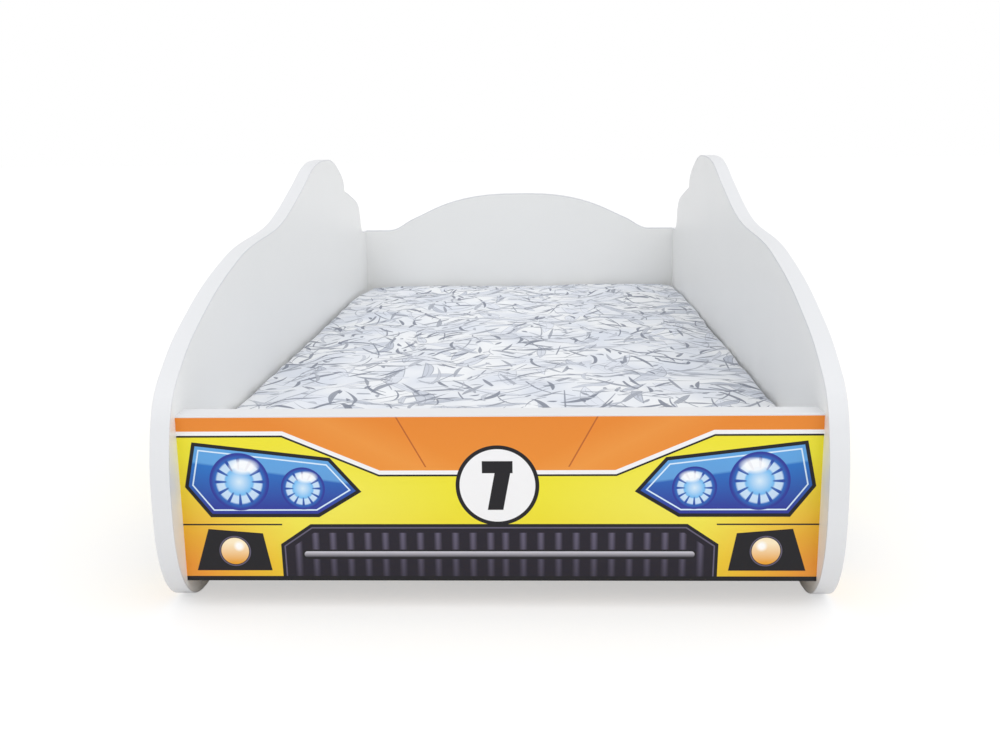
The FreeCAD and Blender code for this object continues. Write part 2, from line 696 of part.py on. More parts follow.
def slat(index):
    """One slat of the base; the first and the last are screwed down."""
    count = int(value("slat_count"))
    label = f"slat_{index + 1:02d}"
    body = new_body(label)
    sketch = new_sketch(body, label + "_outline", "XY_Plane")
    rectangle(sketch, "slat_left", "slat_half", None, "slat_width")
    pad(body, sketch, label + "_pad", cell("slat_thickness"))
    doc.recompute()
    base = body.Tip
    top = value("slat_thickness")
    names = [f"Edge{number}" for number, edge in enumerate(base.Shape.Edges, start=1)
             if edge.BoundBox.ZMin > top - TINY and edge.BoundBox.YLength < TINY]
    fillet = body.newObject("PartDesign::Fillet", label + "_rounding")
    fillet.Base = (base, names)
    fillet.setExpression("Radius", cell("slat_rounding"))
    body.Tip = fillet
    if index in (0, count - 1):
        centres = [("slat_screw_across", "half_slat"), ("slat_screw_left", "half_slat")]
        screw_holes(body, label + "_screw_holes", "XY_Plane", centres,
                    at=cell("slat_thickness"))
    place(body, y=f"places.inner_front + sizes.slat_margin + {index} * places.slat_pitch",
          z=cell("rail_top"))
    return body


def slat_tape(label, left_edge):
    """The webbing that keeps the slats apart, under them."""
    tape = doc.addObject("Part::Box", label)
    tape.Label = label
    bind(tape, Length=cell("tape_width"), Width=cell("tape_length"),
         Height=cell("tape_cloth"))
    place(tape, x=left_edge, y=cell("slat_start"),
          z="places.rail_top - sizes.tape_cloth")
    return tape


# ------------------------------------------------------------- the fasteners

SIDES = (-1, 1)
ALONG_X = Vector(1, 0, 0)
ALONG_Y = Vector(0, 1, 0)
FRONT_Y = value("front_face")
FOOT_MIDDLE_Y = FRONT_Y + value("foot_middle")
FRONT_MIDDLE_Y = FRONT_Y + value("front_middle")
HEAD_MIDDLE_Y = FRONT_Y + value("head_middle")
FOOT_HEIGHTS = (value("low_cam"), value("front_high_cam"))
HEAD_HEIGHTS = (value("low_cam"), value("head_high_cam"))
CAM_PLACES = [(FOOT_MIDDLE_Y, value("inner_front"), z) for z in FOOT_HEIGHTS]
CAM_PLACES += [(HEAD_MIDDLE_Y, value("inner_rear") + value("head_board"), z)
               for z in HEAD_HEIGHTS]


def group(label, solids):
    """Equal fasteners as one sub-part of separate solids."""
    return finished(label, Part.makeCompound(solids))


def turned(profile, start, direction):
    """A turned piece; the profile is (distance along the axis, radius)."""
    along = [distance for distance, radius in profile]
    closed = [(along[0], 0)] + list(profile) + [(along[-1], 0), (along[0], 0)]
    points = [Vector(radius, 0, distance) for distance, radius in closed]
    solid = Part.Face(Part.makePolygon(points)).revolve(Vector(), Vector(0, 0, 1), 360)
    solid.Placement = FreeCAD.Placement(start, FreeCAD.Rotation(Vector(0, 0, 1), direction))
    return solid


def dowels():
    """Fluted dowels, drawn as plain pins, in both ends of each cross board."""
    places_in_side = [(FOOT_MIDDLE_Y, "low_dowel"), (FOOT_MIDDLE_Y, "front_high_dowel"),
                      (FRONT_MIDDLE_Y, "low_dowel"), (FRONT_MIDDLE_Y, "front_high_dowel"),
                      (HEAD_MIDDLE_Y, "low_dowel"), (HEAD_MIDDLE_Y, "head_high_dowel")]
    pins = []
    for hand in SIDES:
        for y, height in places_in_side:
            start = Vector(hand * (value("inner_half") - value("dowel_in_board")),
                           y, value(height))
            pins.append(Part.makeCylinder(value("dowel_radius"), value("dowel_length"),
                                          start, ALONG_X * hand))
    return group("dowels", pins)


def cam_bolts():
    """Threaded in the side boards, their heads caught by the cam locks."""
    tip = value("cam_setback")
    head = value("bolt_head_length")
    thread = value("bolt_thread_radius")
    stem = value("bolt_radius")
    neck = stem - head / 2
    profile = [(-value("bolt_in_side"), thread), (0, thread), (0, stem),
               (tip - 2 * head, stem), (tip - 2 * head, neck), (tip - head, neck),
               (tip - head, stem), (tip, stem)]
    bolts = []
    for hand in SIDES:
        for y, face, z in CAM_PLACES:
            joint = Vector(hand * value("inner_half"), y, z)
            bolts.append(turned(profile, joint, ALONG_X * -hand))
    return group("cam_bolts", bolts)


def cam_locks():
    """Cam discs, open towards their bolt, with a cross for the driver."""
    radius = value("cam_radius")
    depth = value("cam_depth")
    slot = value("screw_slot")
    locks = []
    for hand in SIDES:
        for y, face, z in CAM_PLACES:
            centre = Vector(hand * value("cam_across"), face - depth, z)
            disc = Part.makeCylinder(radius, depth, centre, ALONG_Y)
            mouth = Part.makeCylinder(value("bolt_bore"), 2 * radius,
                                      Vector(centre.x - hand * value("bolt_bore"), y, z),
                                      ALONG_X * hand)
            arms = []
            for width, height in ((radius, slot), (slot, radius)):
                corner = Vector(centre.x - width / 2, face - slot, z - height / 2)
                arms.append(Part.makeBox(width, slot, height, corner))
            locks.append(disc.cut([mouth] + arms))
    return group("cam_locks", locks)


def screw(head_centre, direction, length):
    """A countersunk chipboard screw with a cross recess."""
    head = value("screw_head_radius")
    shank = value("screw_radius")
    slot = value("screw_slot")
    point = length - shank
    body = turned([(0, head), (head - shank, shank), (point, shank), (length, slot / 2)],
                  Vector(), Vector(0, 0, 1))
    arms = [Part.makeBox(width, height, slot, Vector(-width / 2, -height / 2, 0))
            for width, height in ((head, slot), (slot, head))]
    cut = body.cut(arms)
    cut.Placement = FreeCAD.Placement(
        head_centre, FreeCAD.Rotation(Vector(0, 0, 1), direction))
    return cut


def rail_screws():
    length = value("rail_width") + value("screw_bite")
    screws = []
    for hand in SIDES:
        for along, height in RAIL_SCREWS:
            centre = Vector(hand * value("rail_inner"), FRONT_Y + value(along),
                            value(height))
            screws.append(screw(centre, ALONG_X * hand, length))
    return group("rail_screws", screws)


def panel_screws():
    length = value("foot_board") + value("screw_bite")
    screws = [screw(Vector(value(across), value("inner_front"), value(height)),
                    -ALONG_Y, length) for across, height in PANEL_SCREWS]
    return group("panel_screws", screws)


def slat_screws():
    length = value("slat_thickness") + value("screw_bite")
    screws = []
    for across in ("slat_screw_left", "slat_screw_across"):
        for along in ("first_slat_screw", "last_slat_screw"):
            centre = Vector(value(across), FRONT_Y + value(along), value("slat_top"))
            screws.append(screw(centre, Vector(0, 0, -1), length))
    return group("slat_screws", screws)


# -------------------------------------------------------------- the mattress

# Where the cushion is cut: shares of its end corners, then of its half length.
END_STATIONS = (0, 0.06, 0.19, 0.41, 0.69)
MIDDLE_STATIONS = (-0.8, -0.6, -0.4, -0.2, 0, 0.2, 0.4, 0.6, 0.8)


def rounding(radius, distance):
    """How far a rounded edge falls back at a distance from its end."""
    if distance >= radius:
        return 0
    return radius - math.sqrt(radius ** 2 - (radius - distance) ** 2)


def corner_arc(centre, radius, start_angle):
    """A quarter circle in an upright section across the bed."""
    points = []
    for turn in (0, 45, 90):
        angle = math.radians(start_angle + turn)
        offset = Vector(math.cos(angle), 0, math.sin(angle)) * radius
        points.append(centre + offset)
    return Part.Arc(*points).toShape()


def cushion_section(y, half, low, high, crown, upper, lower):
    """A section of the cushion: flat under, drawn in, crowned on top."""
    right_low = Vector(half - lower, y, low + lower)
    right_high = Vector(half - upper, y, high - upper)
    left_low = Vector(-right_low.x, y, right_low.z)
    left_high = Vector(-right_high.x, y, right_high.z)
    crest = Part.Arc(Vector(right_high.x, y, high), Vector(0, y, high + crown),
                     Vector(left_high.x, y, high)).toShape()
    edges = [
        Part.makeLine(Vector(left_low.x, y, low), Vector(right_low.x, y, low)),
        corner_arc(right_low, lower, -90),
        Part.makeLine(Vector(half, y, right_low.z), Vector(half, y, right_high.z)),
        corner_arc(right_high, upper, 0),
        crest,
        corner_arc(left_high, upper, 90),
        Part.makeLine(Vector(-half, y, left_high.z), Vector(-half, y, left_low.z)),
        corner_arc(left_low, lower, 180),
    ]
    return Part.Wire(edges)


def cushion(inset):
    """The mattress's form, or the same form inside its cover."""
    half_length = value("mattress_length") / 2 - inset
    half_width = value("mattress_width") / 2 - inset
    low = value("cushion_base") + inset
    high = value("cushion_base") + value("mattress_height") - inset
    upper = value("top_corner") - inset
    lower = value("under_corner") - inset
    upright = value("end_corner") - inset
    near = [share * upright - half_length for share in END_STATIONS]
    middle = [share * half_length for share in MIDDLE_STATIONS]
    far = [-y for y in reversed(near)]
    sections = []
    for y in near + middle + far:
        distance = half_length - abs(y)
        share = abs(y) / half_length
        waist = value("mattress_waist") * (1 - share ** 2)
        crown = value("mattress_crown") * (1 - share ** 4)
        half = half_width - rounding(upright, distance) - waist
        sections.append(cushion_section(
            value("inner_middle") + y, half, low + rounding(lower, distance),
            high - rounding(upper, distance), crown + value("end_crown"), upper, lower))
    return Part.makeLoft(sections, True, True)


def mattress():
    """A foam core in a cover of two parts, zipped together all round."""
    cloth = value("cover_cloth")
    shell = cushion(0).cut(cushion(cloth))
    reach = value("overall_length")
    zip_level = value("cushion_base") + value("zip_height")
    above = Part.makeBox(reach, reach, reach, Vector(-reach / 2, -reach / 2, zip_level))
    finished("mattress_cover", shell.common(above))
    finished("mattress_base_cloth", shell.cut(above))
    finished("mattress_core", cushion(cloth + value("seat_gap")))


# -------------------------------------------------------------- the whole bed

for name, hand in (("left", -1), ("right", 1)):
    side_panel(name + "_side_panel", hand)
    side_edge_band(name + "_edge_band", hand)
    slat_rail(name + "_slat_rail", hand)
front_panel()
foot_end_board()
front_top_band()
headboard()
headboard_edge_band()
for index in range(int(value("slat_count"))):
    slat(index)
slat_tape("left_slat_tape", "-" + cell("tape_outer"))
slat_tape("right_slat_tape", cell("tape_outer") + " - " + cell("tape_width"))
dowels()
cam_bolts()
cam_locks()
rail_screws()
panel_screws()
slat_screws()
mattress()
doc.recompute()

# ------------------------------------------------------------ check and write

KEPT = ("PartDesign::Body", "Part::Box", "Part::Feature")
failed = [thing.Name for thing in doc.Objects
          if "Invalid" in thing.State or "Error" in thing.State]
if failed:
    raise RuntimeError("failed features: " + ", ".join(failed))
pieces = [thing for thing in doc.Objects if thing.TypeId in KEPT]
for piece in pieces:
    if piece.Shape.isNull() or not piece.Shape.isValid():
        raise RuntimeError("bad shape: " + piece.Label)
os.makedirs("parts", exist_ok=True)
for piece in pieces:
    piece.Shape.exportStep(f"parts/{piece.Label}.step")
    solids = len(piece.Shape.Solids)
    print(f"{piece.Label}: {solids} solid(s), {piece.Shape.Volume / 1000:.1f} cm3")
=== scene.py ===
# %% [markdown]
# # A car bed for children
#
# The bed is two boards cut to a car's outline, a printed front, a headboard, a slatted base
# and a loose mattress. The boards, slats and fittings come ready shaped with the frame.
# What is left to do here is what a joiner leaves to the printer and the upholsterer: the
# laminate, the printed car, the wood, the webbing, and a mattress that looks soft.
# Everything is in metres. +Z is up, and the front of the car looks along -Y.

# %% Load the bed's frame
import math
import random

import bmesh
import bpy
import numpy as np
from mathutils import Matrix, Vector
from mathutils.bvhtree import BVHTree


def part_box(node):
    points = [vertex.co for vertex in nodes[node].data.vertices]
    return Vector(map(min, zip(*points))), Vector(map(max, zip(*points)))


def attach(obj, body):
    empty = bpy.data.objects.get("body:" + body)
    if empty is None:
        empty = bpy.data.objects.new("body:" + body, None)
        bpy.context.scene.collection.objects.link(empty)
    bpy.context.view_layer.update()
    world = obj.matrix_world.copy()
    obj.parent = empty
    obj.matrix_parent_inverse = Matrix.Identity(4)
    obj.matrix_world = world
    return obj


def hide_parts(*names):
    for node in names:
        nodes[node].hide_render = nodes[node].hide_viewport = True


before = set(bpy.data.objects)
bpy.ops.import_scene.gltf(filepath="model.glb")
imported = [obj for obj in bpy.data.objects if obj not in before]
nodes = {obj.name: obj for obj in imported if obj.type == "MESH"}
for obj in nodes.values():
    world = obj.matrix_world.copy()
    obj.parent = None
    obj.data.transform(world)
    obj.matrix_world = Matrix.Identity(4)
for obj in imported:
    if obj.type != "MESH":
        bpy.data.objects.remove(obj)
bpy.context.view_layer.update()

print("pieces in the frame:", len(nodes))

# %% [markdown]
# ## Sizes
#
# The places of the boards, the slats and the mattress are read from the frame's pieces, so
# that a laminate, a stitch or a staple stays on its piece when a board is moved. Only the
# drawings keep measures of their own, as a printed foil does.

# %% Read the sizes from the frame
MM = 0.001

panel_low, panel_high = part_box("front_panel")
foot_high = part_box("foot_end_board")[1]
head_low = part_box("headboard")[0]
side_low, side_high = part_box("right_side_panel")
cover_low, cover_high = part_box("mattress_cover")
base_low, base_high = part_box("mattress_base_cloth")
tape_low, tape_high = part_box("right_slat_tape")

INNER = side_low.x
OUTER = side_high.x
FRONT = panel_low.y
ZIP_LEVEL = base_high.z
slat_names = sorted(name for name in nodes if name.startswith("slat_") and name[5:].isdigit())
print(f"inside {2 * INNER:.3f} m, outside {2 * OUTER:.3f} m, slats {len(slat_names)}")

# %% [markdown]
# ## The camera
#
# The photograph was taken from the foot of the bed, just above the height of its sides and a
# few centimetres to the right of its middle. The lens is a short 40 mm, and the camera leans
# by less than one degree, which is why the near edge of the bed isn't quite level.

# %% Place the camera
CAMERA_PLACE = Vector((0.0483, -1.9101, 0.5424))
CAMERA_LOOK = Vector((-0.03585, 0.97505, -0.21908))
CAMERA_LEAN = math.radians(-0.77)
LENS = 40.03
SENSOR = 36


def stand(name, data):
    """Puts a new object into the scene."""
    made = bpy.data.objects.new(name, data)
    bpy.context.collection.objects.link(made)
    return made


camera_data = bpy.data.cameras.new("camera")
camera_data.lens = LENS
camera_data.sensor_width = SENSOR
camera_data.sensor_fit = "HORIZONTAL"
camera = stand("camera", camera_data)
turn = CAMERA_LOOK.to_track_quat("-Z", "Y").to_matrix().to_4x4()
camera.matrix_world = (Matrix.Translation(CAMERA_PLACE) @ turn
                       @ Matrix.Rotation(CAMERA_LEAN, 4, "Z"))
bpy.context.scene.camera = camera
bpy.context.scene.view_settings.view_transform = "Standard"
print("lens", LENS, "mm, camera", round(-CAMERA_PLACE.y + FRONT, 2), "m from the front")

# %% [markdown]
# ## Writing materials as sums
#
# A printed car is a drawing, and a drawing is made of distances: so far from this line, so
# near to that centre. Blender's Math nodes can work out such distances, but a hundred of
# them placed by hand can't be read. So a small class holds one socket, and when two of them
# are added, multiplied or compared in Python, it places the Math node for it.

# %% A socket that can be written in a sum
class Wire:
    """One value in a material, which sums can be written with."""

    def __init__(self, tree, socket=None):
        self.tree = tree
        self.socket = socket

    def node(self, kind, settings=None, values=None, out=0):
        """Any node: its settings are set first, then its sockets' values or links."""
        made = self.tree.nodes.new(kind if "Node" in kind else "ShaderNode" + kind)
        for name, setting in (settings or {}).items():
            if name == "stops":
                set_stops(made.color_ramp, setting)
            else:
                setattr(made, name, setting)
        for name, given in (values or {}).items():
            if isinstance(given, Wire):
                self.tree.links.new(given.socket, made.inputs[name])
            else:
                made.inputs[name].default_value = given
        return Wire(self.tree, made.outputs[out] if made.outputs else None)

    def math(self, operation, *others, clamp=False):
        values = dict(enumerate((self,) + others))
        return self.node("Math", {"operation": operation, "use_clamp": clamp}, values)

    def __add__(self, other):
        return self.math("ADD", other)

    __radd__ = __add__

    def __mul__(self, other):
        return self.math("MULTIPLY", other)

    __rmul__ = __mul__

    def __sub__(self, other):
        return self.math("SUBTRACT", other)

    def __rsub__(self, other):
        return self.node("Math", {"operation": "SUBTRACT"}, {0: other, 1: self})

    def __truediv__(self, other):
        return self.math("DIVIDE", other)

    def __pow__(self, other):
        return self.math("POWER", other)

    def __abs__(self):
        return self.math("ABSOLUTE")

    def over(self, limit):
        """1 where the value is above the limit, and 0 elsewhere."""
        return self.math("GREATER_THAN", limit)

    def under(self, limit):
        return self.math("LESS_THAN", limit)

    def least(self, other):
        return self.math("MINIMUM", other)

    def most(self, other):
        return self.math("MAXIMUM", other)

    def clear(self):
        """The value, kept between 0 and 1."""
        return self.math("ADD", 0, clamp=True)

    def vector_math(self, operation, other):
        return self.node("VectorMath", {"operation": operation}, {0: self, 1: other})

    def axes(self, names="XYZ"):
        """The coordinates of a vector, a wire for each axis."""
        return [self.node("SeparateXYZ", values={0: self}, out=axis) for axis in names]

    def channels(self, count):
        """The first few channels of a colour."""
        return [self.node("SeparateColor", values={0: self}, out=i) for i in range(count)]


def set_stops(ramp, stops):
    """Gives a colour ramp its stops: (place, colour)."""
    elements = ramp.elements
    while len(elements) > 1:
        elements.remove(elements[-1])
    for index, (place, colour) in enumerate(stops):
        stop = elements[0] if index == 0 else elements.new(place)
        stop.position = place
        stop.color = colour


print("sums can be written with", Wire.__name__)

# %% [markdown]
# A paint maker gives a colour as three numbers from 0 to 255, as seen on a screen. Blender
# reckons with light, so each number is turned into an amount of light first.

# %% Colours, and the start and end of a material
def ink(red, green, blue):
    """A colour given as it looks on a screen, from 0 to 255."""
    light = [((c / 255 + 0.055) / 1.055) ** 2.4 for c in (red, green, blue)]
    return (*light, 1)


def grey(level):
    return (level, level, level, 1)


def new_finish(name):
    """An empty material, and the wire that its nodes start from."""
    material = bpy.data.materials.new(name)
    material.use_nodes = True
    material.node_tree.nodes.clear()
    return material, Wire(material.node_tree)


def end_finish(start, colour, roughness, normal, **fixed):
    """Ends a material in one shader; fixed values are the same all over."""
    values = {"Base Color": colour, "Roughness": roughness, "Normal": normal}
    for name, number in fixed.items():
        values[name.replace("_", " ").title().replace("Ior", "IOR")] = number
    shader = start.node("BsdfPrincipled", values=values)
    start.node("OutputMaterial", values={"Surface": shader})


def blend(factor, first, second):
    """A colour between two colours."""
    wire = next(w for w in (factor, first, second) if isinstance(w, Wire))
    return wire.node("Mix", {"data_type": "RGBA"}, {0: factor, 6: first, 7: second}, 2)


def bump(height, strength, depth):
    """A surface relief from a height between 0 and 1; the depth is in metres."""
    return height.node("Bump", values={"Strength": strength, "Distance": depth,
                                       "Height": height})


def place_on(start):
    """The point on the bed, and its three coordinates in metres."""
    point = start.node("TexCoord", out="Object")
    return point, *point.axes()


def noise(point, scale, detail=2, out="Fac"):
    """Cloudy noise; the scale is in clouds for each metre."""
    return point.node("TexNoise", values={"Vector": point, "Scale": scale,
                                          "Detail": detail}, out=out)


def stretched(point, x, y, z):
    """The same point in a space that is stretched along the three axes."""
    return point.vector_math("MULTIPLY", (x, y, z))


print("white laminate is", [round(c, 2) for c in ink(238, 238, 240)[:3]])

# %% [markdown]
# ## Light and floor
#
# The bed stands in a bright white studio. One very soft lamp from above the camera does the
# work of a big window, and the white room does the rest. The room is a little dimmer for
# the light that falls on the bed than for the camera, so white boards stay a shade below
# the white of the background and keep their edges. It is brighter overhead and on its
# right, so the left board's inner face is lighter than the right one's.

# %% Light the studio
ROOM_LIGHT = 0.72
ROOM_ABOVE = 0.24
ROOM_SIDE = 0.08
ROOM_MIRRORED = 0.80
LAMP_LIGHT = 0.90
LAMP_SOFTNESS = math.radians(80)
LAMP_FROM = Vector((0.14, -0.42, 0.90))

world = bpy.data.worlds.new("studio")
bpy.context.scene.world = world
world.use_nodes = True
world.node_tree.nodes.clear()
sky = Wire(world.node_tree)
seen = sky.node("LightPath", out="Is Camera Ray")
mirrored = (sky.node("LightPath", out="Is Glossy Ray")
            + sky.node("LightPath", out="Is Transmission Ray")).clear()
direction = sky.node("TexCoord", out="Generated")
to_right, upward = direction.axes("XZ")
falls = to_right * ROOM_SIDE + upward.most(0) * ROOM_ABOVE + ROOM_LIGHT
strength = seen + (1 - seen) * (falls + mirrored * (ROOM_MIRRORED - falls))
background = sky.node("Background", values={"Color": grey(1), "Strength": strength})
sky.node("OutputWorld", values={"Surface": background})

lamp_data = bpy.data.lights.new("window", "SUN")
lamp_data.energy = LAMP_LIGHT
lamp_data.angle = LAMP_SOFTNESS
lamp = stand("window", lamp_data)
lamp.rotation_euler = LAMP_FROM.to_track_quat("Z", "Y").to_euler()
print("window light comes from", [round(c, 2) for c in LAMP_FROM])

# %% [markdown]
# The floor is white paper. To the camera alone it glows a little, so that it runs into the
# white room with no horizon, while the bed still gets only the light that paper throws back
# and keeps its shadow.

# %% Lay the floor
HALF_FLOOR = 15
FLOOR_WHITE = 0.90
FLOOR_GLOW = 0.45
GLOW_LIGHT = 1.15

floor_finish, start = new_finish("studio_floor")
paper = start.node("BsdfPrincipled", values={
    "Base Color": grey(FLOOR_WHITE), "Roughness": 0.9, "Specular IOR Level": 0.1})
to_camera = start.node("LightPath", out="Is Camera Ray")
glow = start.node("Emission", values={"Color": grey(1), "Strength": GLOW_LIGHT})
both = start.node("MixShader", values={0: to_camera * FLOOR_GLOW, 1: paper, 2: glow})
start.node("OutputMaterial", values={"Surface": both})
floor_mesh = bpy.data.meshes.new("floor")
corners = [(x * HALF_FLOOR, y * HALF_FLOOR, 0) for x, y in ((-1, -1), (1, -1), (1, 1), (-1, 1))]
floor_mesh.from_pydata(corners, [], [(0, 1, 2, 3)])
floor_mesh.materials.append(floor_finish)
floor = stand("floor", floor_mesh)
print("floor", 2 * HALF_FLOOR, "m square")

# %% [markdown]
# ## White laminate
#
# The boards are chipboard with a white laminate pressed on both faces. It is satin: it has
# the faint orange peel of the press plate, and its gloss is not even. The lower edges of
# the boards are left raw, so the pressed chips show there to anyone who looks from below.

# %% The laminate and the raw chips
LAMINATE = ink(243, 243, 242)
LAMINATE_SHADE = ink(239, 240, 239)
LAMINATE_ROUGH = 0.30
PEEL_SCALE = 420
PEEL_DEPTH = 0.3 * MM
CHIP_LIGHT = ink(206, 178, 134)
CHIP_DARK = ink(140, 106, 68)
CHIP_SIZE = 2.2 * MM
SKIN = 0.2 * MM


def chips(point):
    """The colour of a raw chipboard edge."""
    cells = point.node("TexVoronoi", values={"Vector": stretched(point, 1, 0.45, 1),
                                             "Scale": 1 / CHIP_SIZE}, out="Color")
    return blend(cells.channels(1)[0], CHIP_DARK, CHIP_LIGHT)


def raw_edge(z, level):
    """1 on the faces that look down at a level, such as a board's lower edge."""
    facing = z.node("NewGeometry", out="True Normal")
    return facing.axes("Z")[0].under(-0.9) * z.under(level + SKIN)


def board_finish(name, level, printed=None):
    """A laminated board; printed gives a mask and a drawing for its printed face."""
    material, start = new_finish(name)
    point, x, y, z = place_on(start)
    colour = blend(noise(point, 5, 3), LAMINATE, LAMINATE_SHADE)
    if printed is not None:
        mask, drawing = printed(x, y, z)
        colour = blend(mask, colour, drawing)
    raw = raw_edge(z, level)
    rough = noise(point, 60, 3) * 0.06 + LAMINATE_ROUGH + raw * 0.5
    end_finish(start, blend(raw, colour, chips(point)), rough,
               bump(noise(point, PEEL_SCALE), 0.10, PEEL_DEPTH), specular_ior_level=0.35)
    return material


def dress(material, *names):
    """Gives pieces of the frame their finish."""
    for name in names:
        slots = nodes[name].data.materials
        slots.clear()
        slots.append(material)
    print(material.name, "on", *names)


dress(board_finish("white_laminate", head_low.z), "headboard", "foot_end_board")

# %% [markdown]
# ## Drawing with distances
#
# A round lamp is every point that is nearer to its centre than its radius. A slanted edge
# is every point on one side of a line. Each shape below gives the distance to its outline,
# below nought inside, and a print is made by laying one filled shape over another.

# %% Shapes for the prints
EDGE = 0.35 * MM


def disc(x, z, at_x, at_z, radius):
    """Distance to a circle."""
    across = x - at_x
    up = z - at_z
    return (across * across + up * up).math("SQRT") - radius


def slab(x, z, at_x, at_z, half_x, half_z, round_off=0.0):
    """Distance to a rectangle with rounded corners."""
    across = abs(x - at_x) - (half_x - round_off)
    up = abs(z - at_z) - (half_z - round_off)
    outside = across.most(0) * across.most(0) + up.most(0) * up.most(0)
    return outside.math("SQRT") + across.most(up).least(0) - round_off


def side_of(x, z, start, end):
    """Distance to a straight line; it is below nought on the line's right-hand side."""
    run = Vector(end) - Vector(start)
    run.normalize()
    return (x - start[0]) * -run.y + (z - start[1]) * run.x


def wedge(x, z, corners):
    """Distance to a shape with straight sides; the corners go round clockwise."""
    sides = [side_of(x, z, a, b) for a, b in zip(corners, corners[1:] + corners[:1])]
    distance = sides[0]
    for side in sides[1:]:
        distance = distance.most(side)
    return distance


def inside(distance, grow=0.0, soft=EDGE):
    """1 inside a shape, 0 outside, with a soft edge."""
    return ((grow - distance) / soft + 0.5).clear()


def ring(distance, width, soft=EDGE):
    """1 on a line of that width along a shape's outline."""
    return inside(abs(distance) - width / 2, soft=soft)


def ramp(value, low, high):
    """0 at low, 1 at high."""
    return ((value - low) / (high - low)).clear()


print("edges of the prints are", EDGE / MM, "mm soft")

# %% [markdown]
# ## The printed front
#
# The front is a plain toy car in strong colours: an orange bonnet over a yellow bumper,
# round blue lamps, a dark grille and amber fog lamps, and a white disc with a number, as on
# a club racing car. All of it is symmetric but the number, so most shapes are drawn once,
# with the distance from the middle in place of x.

# %% Inks
YELLOW = ink(236, 225, 48)
YELLOW_LOW = ink(234, 208, 40)
YELLOW_PALE = ink(246, 238, 120)
ORANGE = ink(233, 141, 46)
ORANGE_DEEP = ink(229, 134, 42)
ORANGE_PALE = ink(243, 170, 84)
ORANGE_LINE = ink(186, 96, 36)
NIGHT = ink(14, 12, 20)
IRON = ink(22, 15, 32)
IRON_SHINE = ink(96, 90, 112)
IRON_PALE = ink(206, 204, 214)
LAMP_DEEP = ink(40, 52, 150)
LAMP_BLUE = ink(34, 122, 204)
LAMP_SKY = ink(120, 188, 240)
LAMP_PALE = ink(214, 234, 250)
AMBER = ink(232, 160, 44)
AMBER_PALE = ink(250, 232, 196)
PAPER = ink(241, 241, 243)
RED = ink(188, 36, 34)
RED_PALE = ink(232, 96, 84)

DARK_STRIPE = 7.0 * MM
WHITE_STRIPE = 4.8 * MM
RIM_SHARE = 0.095


def lay(drawing, shape, paint, grow=0.0, soft=EDGE):
    """The drawing with one more filled shape laid over it."""
    return blend(inside(shape, grow, soft), drawing, paint)


def outlined(drawing, shape, paint, line):
    """A filled shape with a dark line round it."""
    return lay(lay(drawing, shape, NIGHT, line), shape, paint)


def pinstriped(drawing, shape, paint):
    """A filled shape with a white and a dark pinstripe round it."""
    striped = outlined(drawing, shape - WHITE_STRIPE, PAPER, DARK_STRIPE - WHITE_STRIPE)
    return lay(striped, shape, paint)


def number_seven(x, z, height, stroke):
    """A bold 7 round the origin: a bar, and a leg that leans."""
    half = height / 2
    wide = height * 0.30
    bar = slab(x, z, 0, half - stroke / 2, wide, stroke / 2)
    leg = wedge(x, z, [(wide - stroke * 1.25, half), (wide, half),
                       (stroke * 0.45, -half), (-stroke * 0.80, -half)])
    return bar.least(leg)


def number_disc(x, z, at_x, at_z, radius, drawing, flip=1):
    """A white disc with a dark rim and a number; flip turns the number round."""
    round_edge = disc(x, z, at_x, at_z, radius)
    drawing = lay(lay(drawing, round_edge, NIGHT), round_edge, PAPER, -radius * RIM_SHARE)
    number = number_seven((x - at_x) * flip, z - at_z, radius * 1.22, radius * 0.30)
    return lay(drawing, number, NIGHT)


print("pinstripes are", round(WHITE_STRIPE / MM, 1), "mm wide")

# %% [markdown]
# A lamp is a dark blue bowl with a ring of facets. Its light comes from a ramp that goes
# pale in the middle, the facets from the angle round the centre, and the shine is a soft
# white patch near the top.

# %% Round lamps
FACETS = 12


def round_lamp(x, z, at_x, at_z, radius, drawing):
    """A headlamp with a faceted bowl and a soft shine."""
    edge = disc(x, z, at_x, at_z, radius)
    near = ramp(edge, -radius, 0)
    bowl = near.node("ValToRGB", {"stops": ((0, LAMP_PALE), (0.42, LAMP_SKY),
                                            (0.72, LAMP_BLUE), (0.95, LAMP_DEEP))},
                     {0: near})
    angle = (z - at_z).math("ARCTAN2", x - at_x)
    spoke = abs((angle * (FACETS / math.tau)).math("FRACT") - 0.5)
    bars = ramp(spoke, 0.37, 0.41) * ramp(near, 0.40, 0.46) * (1 - ramp(near, 0.80, 0.86))
    glass = blend(bars * 0.75, bowl, LAMP_DEEP)
    cells = (1 - ramp(spoke, 0.34, 0.38)) * ramp(near, 0.46, 0.52)
    glass = blend(cells * (1 - ramp(near, 0.74, 0.80)) * 0.8, glass, LAMP_PALE)
    shine = disc(x, (z - at_z) * 1.8 + at_z, at_x - radius * 0.18, at_z + radius * 0.95,
                 radius * 0.42)
    glass = blend(inside(shine, soft=radius * 0.25) * 0.85, glass, grey(1))
    return lay(drawing, edge, glass)


print("each lamp has", FACETS, "facets")

# %% [markdown]
# The bonnet is the orange above a line that drops to the middle. Two shapes make it: what
# is above the brow, and what is above the deep part and beside the slope.

# %% The bonnet
BONNET_DEEP = 62 * MM
BONNET_BROW = 16 * MM


